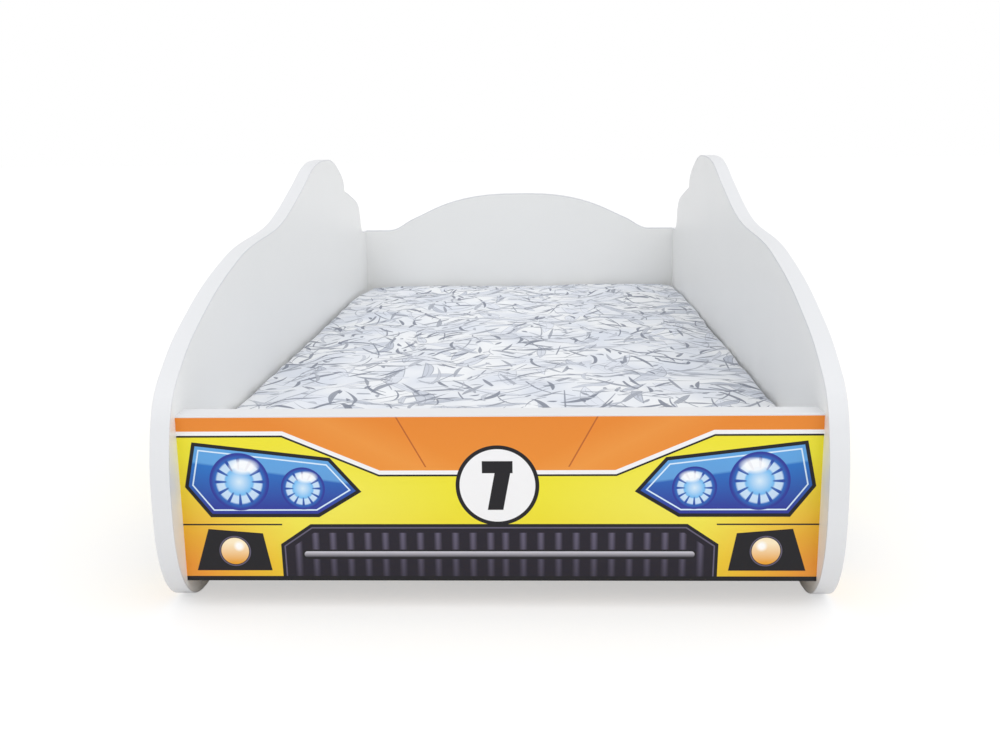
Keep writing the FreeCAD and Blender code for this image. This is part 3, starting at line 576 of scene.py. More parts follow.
def bonnet_print(wide, z, top, drawing):
    """An orange bonnet that is deep in the middle, with pinstripes and a pressed crease."""
    deep = top - BONNET_DEEP
    brow = top - BONNET_BROW
    slope = side_of(wide, z, (0.240, brow), (0.132, deep))
    bonnet = (brow - z).least((deep - z).most(slope))
    gleam = 1 - ramp(abs(side_of(wide, z, (0.205, top), (0.085, deep))), 0.0, 0.030)
    paint = blend(ramp(z, deep, top), ORANGE, ORANGE_DEEP)
    paint = blend(gleam * 0.30, paint, ORANGE_PALE)
    crease = side_of(wide, z, (0.112, top), (0.078, deep))
    crease = ring(crease, 1.6 * MM) * inside(bonnet, -4 * MM)
    return blend(crease, pinstriped(drawing, bonnet, paint), ORANGE_LINE)


print("bonnet is", round(BONNET_DEEP / MM), "mm deep in the middle")

# %% [markdown]
# Each lamp housing is a six-sided blue glass that rises towards the side of the car. It
# holds a large lamp outside and a small one inside.

# %% The lamps in their housings
HOUSING = ((0.160, 0.108), (0.190, 0.143), (0.340, 0.161), (0.350, 0.114), (0.325, 0.081),
           (0.204, 0.081))


def housing_print(wide, up, drawing):
    """A blue glass that leans outwards, with a large and a small lamp behind it."""
    housing = wedge(wide, up, HOUSING)
    glass = blend(ramp(up, 0.086, 0.150), LAMP_DEEP, LAMP_BLUE)
    sheen = inside(side_of(wide, up, (0.345, 0.142), (0.176, 0.118)), soft=3 * MM)
    glass = blend(sheen * 0.55, glass, LAMP_SKY)
    drawing = outlined(drawing, housing, glass, 4.2 * MM)
    drawing = blend(ring(housing + 4.5 * MM, 1.6 * MM), drawing, LAMP_PALE)
    drawing = round_lamp(wide, up, 0.292, 0.119, 0.034, drawing)
    return round_lamp(wide, up, 0.220, 0.111, 0.025, drawing)


print("each housing has", len(HOUSING), "sides")

# %% [markdown]
# The grille is a dark opening with upright bars, each lit on one side so that it looks
# round, and a bright rail across them.

# %% The grille
BAR_PITCH = 20 * MM


def grille_print(wide, up, drawing):
    """A wide dark grille: upright bars that shine on one side, and one bright rail."""
    grille = wedge(wide, up, [(-1, -1), (-1, 0.064), (0.212, 0.064), (0.244, 0.042),
                              (0.224, -1)])
    drawing = lay(drawing, grille, NIGHT, 4.5 * MM)
    drawing = blend(ring(grille, 1.6 * MM), drawing, IRON_SHINE)
    drawing = lay(drawing, grille, IRON, -1.2 * MM)
    across = (wide / BAR_PITCH).math("FRACT")
    bar = ramp(across, 0.18, 0.40) * (1 - ramp(across, 0.46, 0.66))
    lit = ramp(up, 0.004, 0.058) * 0.6 + 0.35
    drawing = blend(bar * inside(grille, -6 * MM) * lit, drawing, IRON_SHINE)
    rail = slab(wide, up, 0, 0.032, 0.222, 3.6 * MM, 3.5 * MM)
    metal = blend(ramp(up, 0.0285, 0.0355), IRON, IRON_PALE)
    return outlined(drawing, rail, metal, 2.2 * MM)


print("grille bars are", round(BAR_PITCH / MM), "mm apart")

# %% [markdown]
# Below each housing a dark air intake holds a round amber lamp with a small shine.

# %% The fog lamps
FOG_RADIUS = 16 * MM


def fog_print(wide, up, drawing):
    """A dark air intake with a round amber lamp."""
    intake = wedge(wide, up, [(0.262, 0.014), (0.270, 0.056), (0.330, 0.061),
                              (0.345, 0.014)])
    drawing = lay(drawing, intake, NIGHT, 1.6 * MM)
    fog = disc(wide, up, 0.302, 0.036, FOG_RADIUS)
    drawing = lay(drawing, fog, IRON_SHINE, 2.2 * MM)
    amber = blend(ramp(up, 0.022, 0.046), AMBER, AMBER_PALE)
    drawing = outlined(drawing, fog, amber, 0.8 * MM)
    shine = disc(wide, up, 0.297, 0.042, 5 * MM)
    return blend(inside(shine, soft=4 * MM) * 0.9, drawing, grey(1))


print("fog lamps are", round(2 * FOG_RADIUS / MM), "mm across")

# %% [markdown]
# The yellow bumper goes on first, darker below and orange in the corners. The shapes are
# laid over it from the back to the front, and the number comes last.

# %% The whole front
JOINT = 0.9 * MM


def front_print(x, y, z):
    """The printed car front, and where it is."""
    wide = abs(x)
    up = z - panel_low.z
    drawing = blend(ramp(up, 0, 0.100), YELLOW_LOW, YELLOW)
    corner = ramp(disc(wide, up, INNER, 0, 0), 0.150, 0.020)
    drawing = blend(corner * 0.9, drawing, ORANGE)
    cheek = disc(wide, up * 2.2, 0.205, 0.092 * 2.2, 0)
    drawing = blend(ramp(cheek, 0.16, 0.02) * 0.35, drawing, YELLOW_PALE)
    drawing = bonnet_print(wide, z, panel_high.z, drawing)
    # a joint runs from the housing to the edge of the panel
    joint = abs(up - 0.068) - JOINT
    drawing = lay(drawing, joint.most(0.246 - wide), NIGHT)
    drawing = housing_print(wide, up, drawing)
    drawing = grille_print(wide, up, drawing)
    drawing = fog_print(wide, up, drawing)
    drawing = lay(drawing, slab(wide, up, 0, 0, INNER, 5.5 * MM), NIGHT)
    return y.under(FRONT + SKIN), number_disc(x, up, 0, 0.114, 0.047, drawing)


dress(board_finish("printed_front", panel_low.z, front_print), "front_panel")

# %% [markdown]
# ## Edge bands
#
# A white plastic band is ironed round every edge that shows. It faces the window and would
# look too bright, so its white is a shade darker than the laminate's. It has fine lines
# along it from the extruder.

# %% The white edge band
BAND_WHITE = ink(224, 225, 228)
BAND_SHADE = ink(220, 222, 225)
EXTRUDER_LINES = 900

band_finish, start = new_finish("white_edge_band")
point = place_on(start)[0]
lines = noise(stretched(point, EXTRUDER_LINES, 4, 4), 1, 1)
end_finish(start, blend(noise(point, 7), BAND_WHITE, BAND_SHADE),
           noise(point, 90) * 0.08 + 0.33, bump(lines, 0.06, 0.2 * MM),
           specular_ior_level=0.5)
dress(band_finish, "left_edge_band", "right_edge_band", "headboard_edge_band",
      "front_top_band")

# %% [markdown]
# ## The printed sides
#
# Seen from the side the bed is a whole car. Its roof line is the board's own outline, given
# here as a few points along the length, so that the windows can follow it at an even
# distance. The wheels stand on the floor, and the number is on the door again.

# %% The roof line along the bed
REAR = side_high.y
ROOF_POINTS = ((-0.755, 0.118), (-0.735, 0.235), (-0.680, 0.283), (-0.576, 0.328),
               (-0.415, 0.370), (-0.121, 0.401), (0.034, 0.444), (0.129, 0.473),
               (0.259, 0.482), (0.378, 0.460), (0.432, 0.434), (0.451, 0.410),
               (0.526, 0.395), (0.593, 0.379), (0.685, 0.304), (0.755, 0.280))


def roof_height(y):
    """The height of the board's upper edge at a place along the bed."""
    along = (y + REAR) / (2 * REAR)
    stops = [((place + REAR) / (2 * REAR), grey(height)) for place, height in ROOF_POINTS]
    return along.node("ValToRGB", {"stops": stops}, {0: along}).channels(1)[0]


print("roof line has", len(ROOF_POINTS), "points")

# %% [markdown]
# A wheel is a set of rings round one centre. Its spokes come from the angle round the hub:
# one stands in the middle of each fifth of a turn, and beside it the rim is open.

# %% Wheels
FRONT_WHEEL = -0.500
REAR_WHEEL = 0.470
WHEEL_RADIUS = 122 * MM
RIM_RADIUS = 83 * MM
ARCH_GAP = 16 * MM
SPOKES = 5
RIM_DARK = ink(112, 114, 128)
RIM_LIGHT = ink(222, 224, 232)


def wheel_print(y, z, at_y, drawing):
    """A dark tyre on a grey rim with five spokes."""
    edge = disc(y, z, at_y, WHEEL_RADIUS, 0)
    tyre = blend(ramp(z, 0.14, 0.25), IRON, IRON_SHINE)
    drawing = outlined(drawing, edge - WHEEL_RADIUS, tyre, ARCH_GAP)
    drawing = lay(drawing, edge, IRON, WHEEL_RADIUS - 3 * MM)
    for groove in (97 * MM, 106 * MM):
        drawing = blend(ring(edge - groove, 1.6 * MM), drawing, IRON_SHINE)
    metal = blend(ramp(z - (y - at_y) * 0.6, 0.05, 0.20), RIM_DARK, RIM_LIGHT)
    drawing = outlined(drawing, edge - RIM_RADIUS, metal, 3 * MM)
    angle = (z - WHEEL_RADIUS).math("ARCTAN2", y - at_y)
    spoke = abs((angle * (SPOKES / math.tau) + 0.25).math("FRACT") - 0.5)
    gap = inside(12 * MM - spoke * edge * (math.tau / SPOKES))
    gap = gap * inside(edge, RIM_RADIUS - 10 * MM) * (1 - inside(edge, 26 * MM))
    drawing = blend(gap, drawing, NIGHT)
    drawing = blend(ring(edge - (RIM_RADIUS - 5 * MM), 2 * MM), drawing, RIM_LIGHT)
    return outlined(drawing, edge - 9 * MM, metal, 2.5 * MM)


print("wheels are", round(2 * WHEEL_RADIUS / MM), "mm across")

# %% [markdown]
# The windows keep an even distance from the roof line above, and end at a level sill below
# and at a slanting line at each end. A post parts them, and pale bands make them look shiny.

# %% Windows
SILL_HEIGHT = 0.322
ROOF_WIDTH = 36 * MM


def window_print(y, z, below, drawing):
    """Glass under the roof line, with a middle post and slanting gleams."""
    window = (ROOF_WIDTH - below).most(SILL_HEIGHT - z)
    window = window.most(side_of(y, z, (-0.090, SILL_HEIGHT), (0.040, 0.480)))
    window = window.most(side_of(y, z, (0.360, 0.480), (0.430, SILL_HEIGHT)))
    over_sill = z - SILL_HEIGHT
    glass = blend(ramp(z, SILL_HEIGHT, 0.445), LAMP_SKY, LAMP_DEEP)
    for at, half in ((0.070, 16 * MM), (0.116, 6 * MM), (0.330, 12 * MM)):
        gleam = abs(y - over_sill * 0.8 - at) - half
        glass = blend(inside(gleam, soft=2 * MM) * 0.55, glass, LAMP_PALE)
    post = abs(y - 0.205 + over_sill * 0.10) - 9 * MM
    drawing = lay(drawing, window, NIGHT, 7.5 * MM)
    return blend(inside(window) * (1 - inside(post)), drawing, glass)


print("window sill is", SILL_HEIGHT, "m up")

# %% [markdown]
# The door is a thin joint with round corners that stops at the window. A handle, a filler
# cap and a few vents make the flank look like a car's, and lamps close both ends.

# %% Door, vents and lamps
DOOR_LINE = 2.2 * MM
VENTS = 3
VENT_PITCH = 32 * MM


def door_print(y, z, drawing):
    """The door's joint and handle, a filler cap and slanting vents."""
    door = slab(y, z, 0.066, 0.225, 0.142, 0.165, 0.030)
    drawing = blend(ring(door, DOOR_LINE) * z.under(SILL_HEIGHT), drawing, NIGHT)
    handle = slab(y, z, 0.166, 0.303, 0.022, 5.2 * MM, 5.1 * MM)
    drawing = outlined(drawing, handle, PAPER, 1.4 * MM)
    drawing = blend(ring(disc(y, z, 0.505, 0.322, 0.019), 2 * MM), drawing, NIGHT)
    for number in range(VENTS):
        at = -0.315 + number * VENT_PITCH
        vent = wedge(y, z, [(at - 0.006, 0.185), (at + 0.012, 0.235),
                            (at + 0.022, 0.235), (at + 0.004, 0.185)])
        drawing = lay(drawing, vent, NIGHT)
    return drawing


def lamps_print(y, z, drawing):
    """Blue glass at the nose, red glass at the tail."""
    nose = wedge(y, z, [(-0.760, 0.176), (-0.760, 0.222), (-0.664, 0.214),
                        (-0.640, 0.196), (-0.672, 0.176)])
    blue = blend(ramp(z, 0.176, 0.216), LAMP_DEEP, LAMP_BLUE)
    drawing = outlined(drawing, nose, blue, 4 * MM)
    drawing = blend(ring(nose + 4.5 * MM, 1.4 * MM), drawing, LAMP_PALE)
    drawing = round_lamp(y, z, -0.700, 0.197, 0.0165, drawing)
    tail = wedge(y, z, [(0.668, 0.206), (0.690, 0.242), (0.760, 0.242), (0.760, 0.194),
                        (0.684, 0.194)])
    red = blend(ramp(z, 0.194, 0.242), RED, RED_PALE)
    drawing = outlined(drawing, tail, red, 4 * MM)
    return blend(ring(tail + 6 * MM, 1.4 * MM), drawing, PAPER)


print("vents:", VENTS)

# %% [markdown]
# The paint comes first: yellow, paler under the roof line and along a crease, orange at
# the lower ends. A band runs from lamp to lamp, and the rest is laid over it.

# %% The whole side
MIDDLE_OF_CAR = -0.015


def side_print(x, y, z):
    """The printed car side, and where it is."""
    below = roof_height(y) - z
    from_middle = abs(y - MIDDLE_OF_CAR)
    drawing = blend(ramp(z, 0.02, 0.24), YELLOW_LOW, YELLOW)
    drawing = blend(ramp(below, 0.030, 0.0) * 0.6, drawing, YELLOW_PALE)
    shade = ramp(from_middle, 0.55, 0.78) * ramp(z, 0.20, 0.04)
    drawing = blend(shade * 0.85, drawing, ORANGE)
    crease = abs(z - (0.110 + y * 0.05)) + ramp(from_middle, 0.20, 0.36) * 0.022
    drawing = blend(ramp(crease, 0.022, 0.0) * 0.5, drawing, YELLOW_PALE)
    band = abs(z - (0.264 + y * 0.03)) - 0.022
    drawing = pinstriped(drawing, band, blend(ramp(z, 0.24, 0.29), ORANGE_DEEP, ORANGE))
    drawing = door_print(y, z, drawing)
    drawing = window_print(y, z, below, drawing)
    drawing = lamps_print(y, z, drawing)
    skirt = wedge(y, z, [(-0.400, 0.0), (-0.360, 0.034), (0.330, 0.034), (0.370, 0.0)])
    drawing = lay(drawing, skirt, NIGHT)
    for wheel in (FRONT_WHEEL, REAR_WHEEL):
        drawing = wheel_print(y, z, wheel, drawing)
    drawing = number_disc(y, z, 0.055, 0.150, 0.060, drawing, flip=x.math("SIGN"))
    return abs(x).over(OUTER - SKIN), drawing


dress(board_finish("printed_side", side_low.z, side_print),
      "left_side_panel", "right_side_panel")

# %% [markdown]
# ## Wood
#
# The slats and rails are planed pine: pale, with grain that runs along the piece, and here
# and there a knot. Each slat lies at its own place in the same imagined log, so no two
# have the same grain.

# %% Pine and beech
def wood_finish(name, light, dark, knot, grain_scale):
    """Planed wood; its grain runs along the axis with the small scale."""
    material, start = new_finish(name)
    point = place_on(start)[0]
    log = stretched(point, *grain_scale)
    wander = noise(log, 1.6, 3, out="Color")
    bent = wander.node("VectorMath", {"operation": "MULTIPLY_ADD"},
                       {0: wander, 1: (0.9, 0.9, 0.9), 2: log})
    years = bent.node("TexWave", {"wave_type": "RINGS", "rings_direction": "X"},
                      {"Vector": bent, "Scale": 1.4, "Distortion": 2.2, "Detail": 2},
                      out="Fac")
    fibre = noise(stretched(log, 9, 9, 9), 1, 3)
    tone = (years * 0.75 + fibre * 0.35).clear()
    spot = log.node("TexVoronoi", values={"Vector": stretched(point, 3.1, 5.2, 5.2),
                                          "Scale": 1.4}, out="Distance")
    colour = blend(1 - ramp(spot, 0.035, 0.075), blend(tone, light, dark), knot)
    end_finish(start, colour, fibre * 0.2 + 0.5, bump(tone, 0.15, 0.3 * MM),
               specular_ior_level=0.35)
    return material


PINE = ink(232, 205, 158), ink(205, 164, 108), ink(128, 82, 46)
BEECH = ink(216, 178, 130), ink(184, 138, 92), ink(150, 104, 66)
dress(wood_finish("pine_across", *PINE, (2, 30, 30)), *slat_names)
dress(wood_finish("pine_along", *PINE, (30, 2, 30)), "left_slat_rail", "right_slat_rail")
dress(wood_finish("beech", *BEECH, (4, 60, 60)), "dowels")

# %% [markdown]
# ## Metal
#
# The bolts and screws are plated with zinc, which is bright and faintly blue. The cam locks
# are cast, so they are greyer and their surface is grainy.

# %% Zinc
def plain_finish(name, light, dark, rough, grain, depth, clouds=(60, 2), varies=0.1,
                 **fixed):
    """A plain part: a cloudy colour and a fine grain."""
    material, start = new_finish(name)
    point = place_on(start)[0]
    cloud = noise(point, *clouds)
    end_finish(start, blend(cloud, light, dark), cloud * varies + rough,
               bump(noise(point, grain), 0.4, depth), **fixed)
    return material


METAL = {"clouds": (180, 3), "varies": 0.15, "metallic": 1.0}
plated = plain_finish("plated_zinc", ink(206, 208, 212), ink(186, 192, 202), 0.25, 1500,
                      0.05 * MM, **METAL)
cast = plain_finish("cast_zinc", ink(168, 170, 174), ink(146, 148, 152), 0.42, 2600,
                    0.1 * MM, **METAL)
dress(plated, "cam_bolts", "rail_screws", "panel_screws", "slat_screws")
dress(cast, "cam_locks")

# %% [markdown]
# ## Webbing
#
# Two woven tapes run under the slats and keep them apart. The weave is a fine chevron, so
# it is drawn as two sets of slanting ribs that meet in the middle of the tape. The grooves
# between the ribs are painted darker than the rib tops: painted shade.

# %% The woven tape
RIB = 1.6 * MM

webbing, start = new_finish("webbing")
point, x, y, z = place_on(start)
tape_middle = (tape_low.x + tape_high.x) / 2
ribs = ((y + abs(abs(x) - tape_middle)) / RIB).math("FRACT")
raised = (abs(ribs - 0.5) * 2).math("SMOOTH_MIN", 0.9)
# rib tops lighter and grooves darker: painted shade in the weave
colour = blend(raised, ink(222, 220, 214), ink(240, 239, 235))
end_finish(start, colour, 0.85, bump(raised, 0.8, 0.3 * MM), specular_ior_level=0.2)
dress(webbing, "left_slat_tape", "right_slat_tape")

# %% [markdown]
# ## The mattress
#
# The mattress is a foam block in a printed cloth cover. A foam block keeps its shape, but
# its cover doesn't: it swells a little between the seams, dents where it was folded, and
# pulls in at the zip. So the cover starts as the frame's own block, is cut into even
# squares by a voxel remesh, and is blown up a little as a cloth. How far a point may move
# is capped, and the underside stays flat, because it lies on the slats.

# %% The cover's cloth starts from the block
VOXEL = 11 * MM
SPREAD = 7 * MM
SHRINK = 1 * MM
TOP_SHRINK = 2 * MM


def copy_of(name, source):
    """A piece of its own with the mesh of a frame's piece."""
    mesh = nodes[source].data.copy()
    mesh.materials.clear()
    form = bmesh.new()
    form.from_mesh(mesh)
    bmesh.ops.remove_doubles(form, verts=form.verts, dist=0.01 * MM)
    form.to_mesh(mesh)
    form.free()
    return stand(name, mesh)


def apply_modifiers(piece):
    """Turns a piece with its modifiers into a plain mesh."""
    graph = bpy.context.evaluated_depsgraph_get()
    made = bpy.data.meshes.new_from_object(piece.evaluated_get(graph))
    piece.modifiers.clear()
    old = piece.data
    piece.data = made
    bpy.data.meshes.remove(old)


def points_of(mesh, what="co"):
    """A mesh's points, or their normals, as rows of three numbers."""
    flat = np.empty(len(mesh.vertices) * 3)
    mesh.vertices.foreach_get(what, flat)
    return flat.reshape(-1, 3)


def set_points(mesh, points):
    mesh.vertices.foreach_set("co", np.ascontiguousarray(points, dtype=np.float32).ravel())
    mesh.update()


def fit_block(piece, low, high):
    """Stretches a block to fill a box."""
    points = points_of(piece.data)
    first, last = points.min(0), points.max(0)
    share = (points - first) / (last - first)
    set_points(piece.data, np.array(low) + share * (np.array(high) - np.array(low)))


cushion_low = Vector((cover_low.x - SPREAD, cover_low.y, base_low.z))
cushion_high = Vector((cover_high.x + SPREAD, cover_high.y, cover_high.z))
cushion_middle = (cushion_low.y + cushion_high.y) / 2
block = copy_of("cushion_block", "mattress_core")
fit_block(block, cushion_low + Vector((SHRINK, SHRINK, 0)),
          cushion_high - Vector((SHRINK, SHRINK, TOP_SHRINK)))
remesh = block.modifiers.new("squares", "REMESH")
remesh.mode = "VOXEL"
remesh.voxel_size = VOXEL
apply_modifiers(block)
print("cover starts with", len(block.data.vertices), "points")

# %% [markdown]
# Cloth is uneven, but never jagged. Its unevenness is made here as a sum of a few waves,
# each with its own direction and length, drawn from a fixed seed. A smooth step fades them
# out where the cover is held.

# %% Smooth waves and steps
SEED = 4
draw = random.Random(SEED)


def wave_field(points, count, low, high):
    """Adds up waves of random direction, with lengths from low to high in metres."""
    total = np.zeros(len(points))
    for _ in range(count):
        angle = draw.uniform(0, math.tau)
        length = draw.uniform(low, high)
        phase = draw.uniform(0, math.tau)
        along = points[:, 0] * math.cos(angle) + points[:, 1] * math.sin(angle)
        total += np.sin(along * math.tau / length + phase)
    return total / math.sqrt(count)


def smooth(value, low, high):
    """0 below low, 1 above high, with a soft step between."""
    share = np.clip((value - low) / (high - low), 0, 1)
    return share * share * (3 - 2 * share)


print("a step is halfway at", smooth(0.5, 0, 1))

# %% [markdown]
# The cloth simulation pumps the cover up like an airbed. Foam fills it evenly, so every
# point is held a little by its weight in a vertex group, some more and some less. The seam
# is held well, so the cover stays straight there, and the underside is held fully.

# %% Blow the cover up as a cloth
SEAM_HOLD = 0.85
SEAM_FADES = (18 * MM, 60 * MM)
FOAM_HOLD = 0.22
FOAM_HOLD_VARIES = 0.12
HOLD_WAVES = (12, 0.10, 0.30)
UNDERSIDE = 6 * MM
SWELL_CAP = 8 * MM
FRAMES = 20
CLOTH_SETTINGS = {
    "quality": 5, "mass": 0.3, "tension_stiffness": 12, "compression_stiffness": 12,
    "bending_stiffness": 0.15, "use_pressure": True, "uniform_pressure_force": 4,
    "shrink_min": -0.004, "vertex_group_mass": "held"}


def hold_of(rest):
    """How firmly each point is held: fully underneath, well at the seam, loosely on foam."""
    in_x = cushion_high.x - np.abs(rest[:, 0])
    in_y = np.minimum(rest[:, 1] - cushion_low.y, cushion_high.y - rest[:, 1])
    top = smooth(rest[:, 2], cushion_high.z - 40 * MM, cushion_high.z - 12 * MM)
    seam = (1 - smooth(np.minimum(in_x, in_y), *SEAM_FADES)) * top
    loose = FOAM_HOLD + FOAM_HOLD_VARIES * wave_field(rest, *HOLD_WAVES)
    hold = loose + (SEAM_HOLD - loose) * seam
    hold[rest[:, 2] < cushion_low.z + UNDERSIDE] = 1.0
    return np.clip(hold, 0.02, 1.0)


def swell(piece):
    """Runs a short cloth simulation and keeps what it moved, up to the cap."""
    rest = points_of(piece.data)
    group = piece.vertex_groups.new(name="held")
    for index, hold in enumerate(hold_of(rest)):
        group.add([index], float(hold), "REPLACE")
    cloth = piece.modifiers.new("cloth", "CLOTH")
    for name, value in CLOTH_SETTINGS.items():
        setattr(cloth.settings, name, value)
    cloth.settings.effector_weights.gravity = 0
    cloth.collision_settings.use_collision = False
    scene = bpy.context.scene
    for step in range(1, FRAMES + 1):
        scene.frame_set(step)
    graph = bpy.context.evaluated_depsgraph_get()
    swollen = points_of(piece.evaluated_get(graph).data)
    piece.modifiers.clear()
    scene.frame_set(1)
    move = swollen - rest
    length = np.linalg.norm(move, axis=1, keepdims=True)
    move *= np.minimum(1, SWELL_CAP / np.maximum(length, 1e-9))
    set_points(piece.data, rest + move)
    return length.max()


print("cloth moved up to", round(float(swell(block)) / MM, 1), "mm before the cap")

# %% [markdown]
# A foam mattress shows that it was rolled up for the post: it has shallow waves, and little
# creases that are deeper near the seam. These are waves as well, and they fade out
# towards the underside. The foam fills the corners, the zip draws the wall in, and the head
# end has slid down and forwards a little. Nothing may cross the boards or rise too high.

# %% Dents, creases and corners
CORNER_FULL = 12 * MM
CORNER_REACH = 24 * MM
ZIP_DRAWN_IN = 7 * MM
ROLL_WAVES = (9, 0.16, 0.50)
CREASE_WAVES = (14, 0.045, 0.11)
ROLL_HIGH = 0.8 * MM
CREASE_HIGH = 0.25 * MM
EDGE_CREASE = 0.4 * MM
EDGE_WIDE = 0.10
WALL_HIGH = 0.5 * MM
SUNK = 0.8 * MM
HEAD_LENGTH = 0.30
HEAD_DROOP = 8 * MM
HEAD_PULL = 10 * MM
LEFT_CORNER = (0.10, 0.35)
LEAN_RIGHT = 2 * MM
LEAN_GROWS = (-0.5, 0.0)
BOARD_CLEAR = 1.5 * MM
END_PRESSED = 1 * MM
CROWN_ROOM = 4 * MM
FOAM_INSIDE = 4 * MM

points = points_of(block.data)
height = smooth(points[:, 2], cushion_low.z + 15 * MM, cushion_high.z - 20 * MM)
rolled = wave_field(points, *ROLL_WAVES) * height
fine = wave_field(points, *CREASE_WAVES) * height
edge_x = cushion_high.x - np.abs(points[:, 0])
edge_y = np.minimum(points[:, 1] - cushion_low.y, cushion_high.y - points[:, 1])
edge = np.minimum(edge_x, edge_y)
near_edge = 1 - smooth(edge, 0.0, EDGE_WIDE)
outward = np.stack([np.sign(points[:, 0]) * (edge_x < CORNER_REACH),
                    np.sign(points[:, 1] - cushion_middle) * (edge_y < CORNER_REACH)], axis=1)
near_top = np.clip(1 - (cushion_high.z - points[:, 2]) / CORNER_REACH, 0, 1)
filled = np.clip(1 - edge / CORNER_REACH, 0, 1) * near_top * CORNER_FULL
drawn_in = (1 - height) * ZIP_DRAWN_IN
points[:, :2] += outward * (filled + (fine + rolled) * WALL_HIGH - drawn_in)[:, None]
points[:, 2] += filled + rolled * ROLL_HIGH - height * SUNK
points[:, 2] += fine * (CREASE_HIGH + EDGE_CREASE * near_edge)
at_head = smooth(points[:, 1], cushion_high.y - HEAD_LENGTH, cushion_high.y) * height
left_corner = smooth(-points[:, 0], *LEFT_CORNER) * at_head
points[:, 2] -= at_head * HEAD_DROOP
points[:, 1] -= at_head * HEAD_PULL
points[:, 0] += left_corner * HEAD_PULL
points[:, 0] += height * LEAN_RIGHT * smooth(points[:, 1], *LEAN_GROWS)
points[:, 2] = np.clip(points[:, 2], cushion_low.z, cushion_high.z + CROWN_ROOM)
points[:, 0] = np.clip(points[:, 0], BOARD_CLEAR - INNER, INNER - BOARD_CLEAR)
points[:, 1] = np.clip(points[:, 1], cushion_low.y - END_PRESSED, cushion_high.y + END_PRESSED)
set_points(block.data, points)

foam_mesh = block.data.copy()
foam_mesh.name = "foam_block"
set_points(foam_mesh, points - points_of(foam_mesh, "normal") * FOAM_INSIDE)

finer = block.modifiers.new("finer", "SUBSURF")
finer.levels = 1
finer.render_levels = 1
apply_modifiers(block)
print("cover has", len(block.data.polygons), "faces")

# %% [markdown]
# The cover is really two: a printed upper half and a plain lower half, zipped together all
# round, so that it can be washed. The block is cut at the zip and each half gets the
# thickness of its cloth.

# %% Cut the cover at the zip
CLOTH = 1.6 * MM
CORNER_ZONE = 30 * MM
PATTERN_EDGE = 20 * MM


def half_of(name, keep_upper):
    """The block's skin above or below the zip, as a cloth of its own."""
    form = bmesh.new()
    form.from_mesh(block.data)
    geometry = form.verts[:] + form.edges[:] + form.faces[:]
    bmesh.ops.bisect_plane(form, geom=geometry, plane_co=(0, 0, ZIP_LEVEL),
                           plane_no=(0, 0, 1), clear_inner=keep_upper,
                           clear_outer=not keep_upper)
    mesh = bpy.data.meshes.new(name)
    form.to_mesh(mesh)
    form.free()
    return stand(name, mesh)


def beyond(x, y):
    """How far a place lies past the middle part of the cushion, towards a side and an end."""
    half_long = cushion_high.y - cushion_middle
    return (max(0.0, abs(x) - (cushion_high.x - CORNER_ZONE)),
            max(0.0, abs(y - cushion_middle) - (half_long - CORNER_ZONE)))


def unfold(piece):
    """A flat pattern for the print: the walls fold out from the top."""
    layer = piece.data.uv_layers.new(name="cloth")
    flat = []
    for x, y, z in points_of(piece.data):
        depth = max(0.0, cushion_high.z - z - PATTERN_EDGE)
        from_x, from_y = beyond(x, y)
        reach = math.hypot(from_x, from_y) or 1
        flat.append((x + math.copysign(depth * from_x / reach, x),
                     y + math.copysign(depth * from_y / reach, y - cushion_middle)))
    for loop in piece.data.loops:
        layer.data[loop.index].uv = flat[loop.vertex_index]


def give_thickness(piece):
    """Makes a skin as thick as its cloth, inwards."""
    wall = piece.modifiers.new("cloth", "SOLIDIFY")
    wall.thickness = CLOTH
    wall.offset = -1
    apply_modifiers(piece)
    piece.data.shade_smooth()


cover = half_of("printed_cover", True)
base = half_of("plain_cover", False)
for piece in (cover, base):
    unfold(piece)
    give_thickness(piece)
    print(piece.name, len(piece.data.polygons), "faces")

# %% [markdown]
# ## The cover's print
#
# The print is a busy scatter in grey and blue on white, of the kind that hides a stain:
# slim leaves, stalks and seeds that lie every way and over each other. Each layer divides
# the cloth into cells and draws one leaf in each, turned by the cell's own random number.
# A leaf that is longer than its cell is cut off there, as if it lay under its neighbour.

# %% Leaves on the cloth
LEAF_CURL = 0.6


def leaves(flat, cells, half_length, half_width, seed, share):
    """One leaf in each cell: its fill, its outline with a vein, and a random tone."""
    moved = stretched(flat, cells, cells, 1).vector_math("ADD", (seed, seed * 2, 0))
    settings = {"voronoi_dimensions": "2D"}
    values = {"Vector": moved, "Scale": 1, "Randomness": 0.95}
    centre = moved.node("TexVoronoi", settings, values, out="Position")
    chance = moved.node("TexVoronoi", settings, values, out="Color")
    across, up = (way / cells for way in moved.vector_math("SUBTRACT", centre).axes("XY"))
    turn, drawn, tone = chance.channels(3)
    angle = turn * math.tau
    cosine = angle.math("COSINE")
    sine = angle.math("SINE")
    along = across * cosine + up * sine
    curl = along * along * (LEAF_CURL / half_length) * (tone - 0.5)
    beside = up * cosine - across * sine + curl
    outline = abs(beside) - (1 - (along / half_length) ** 2) * half_width
    vein = (abs(beside) - 0.3 * MM).most(abs(along) - half_length * 0.8)
    drawn = drawn.under(share)
    fill = inside(outline, soft=0.6 * MM) * drawn
    line = ring(outline, 1.1 * MM, soft=0.7 * MM).most(inside(vein, soft=0.6 * MM)) * drawn
    return fill, line, tone


print("a leaf's tip bends by up to", LEAF_CURL / 2, "of its half length")

# %% [markdown]
# The layers go from wide pale leaves at the bottom to thin dark stalks and small seeds on
# top. A bluish cloud lies under them, and a fine weave gives the cloth its touch.

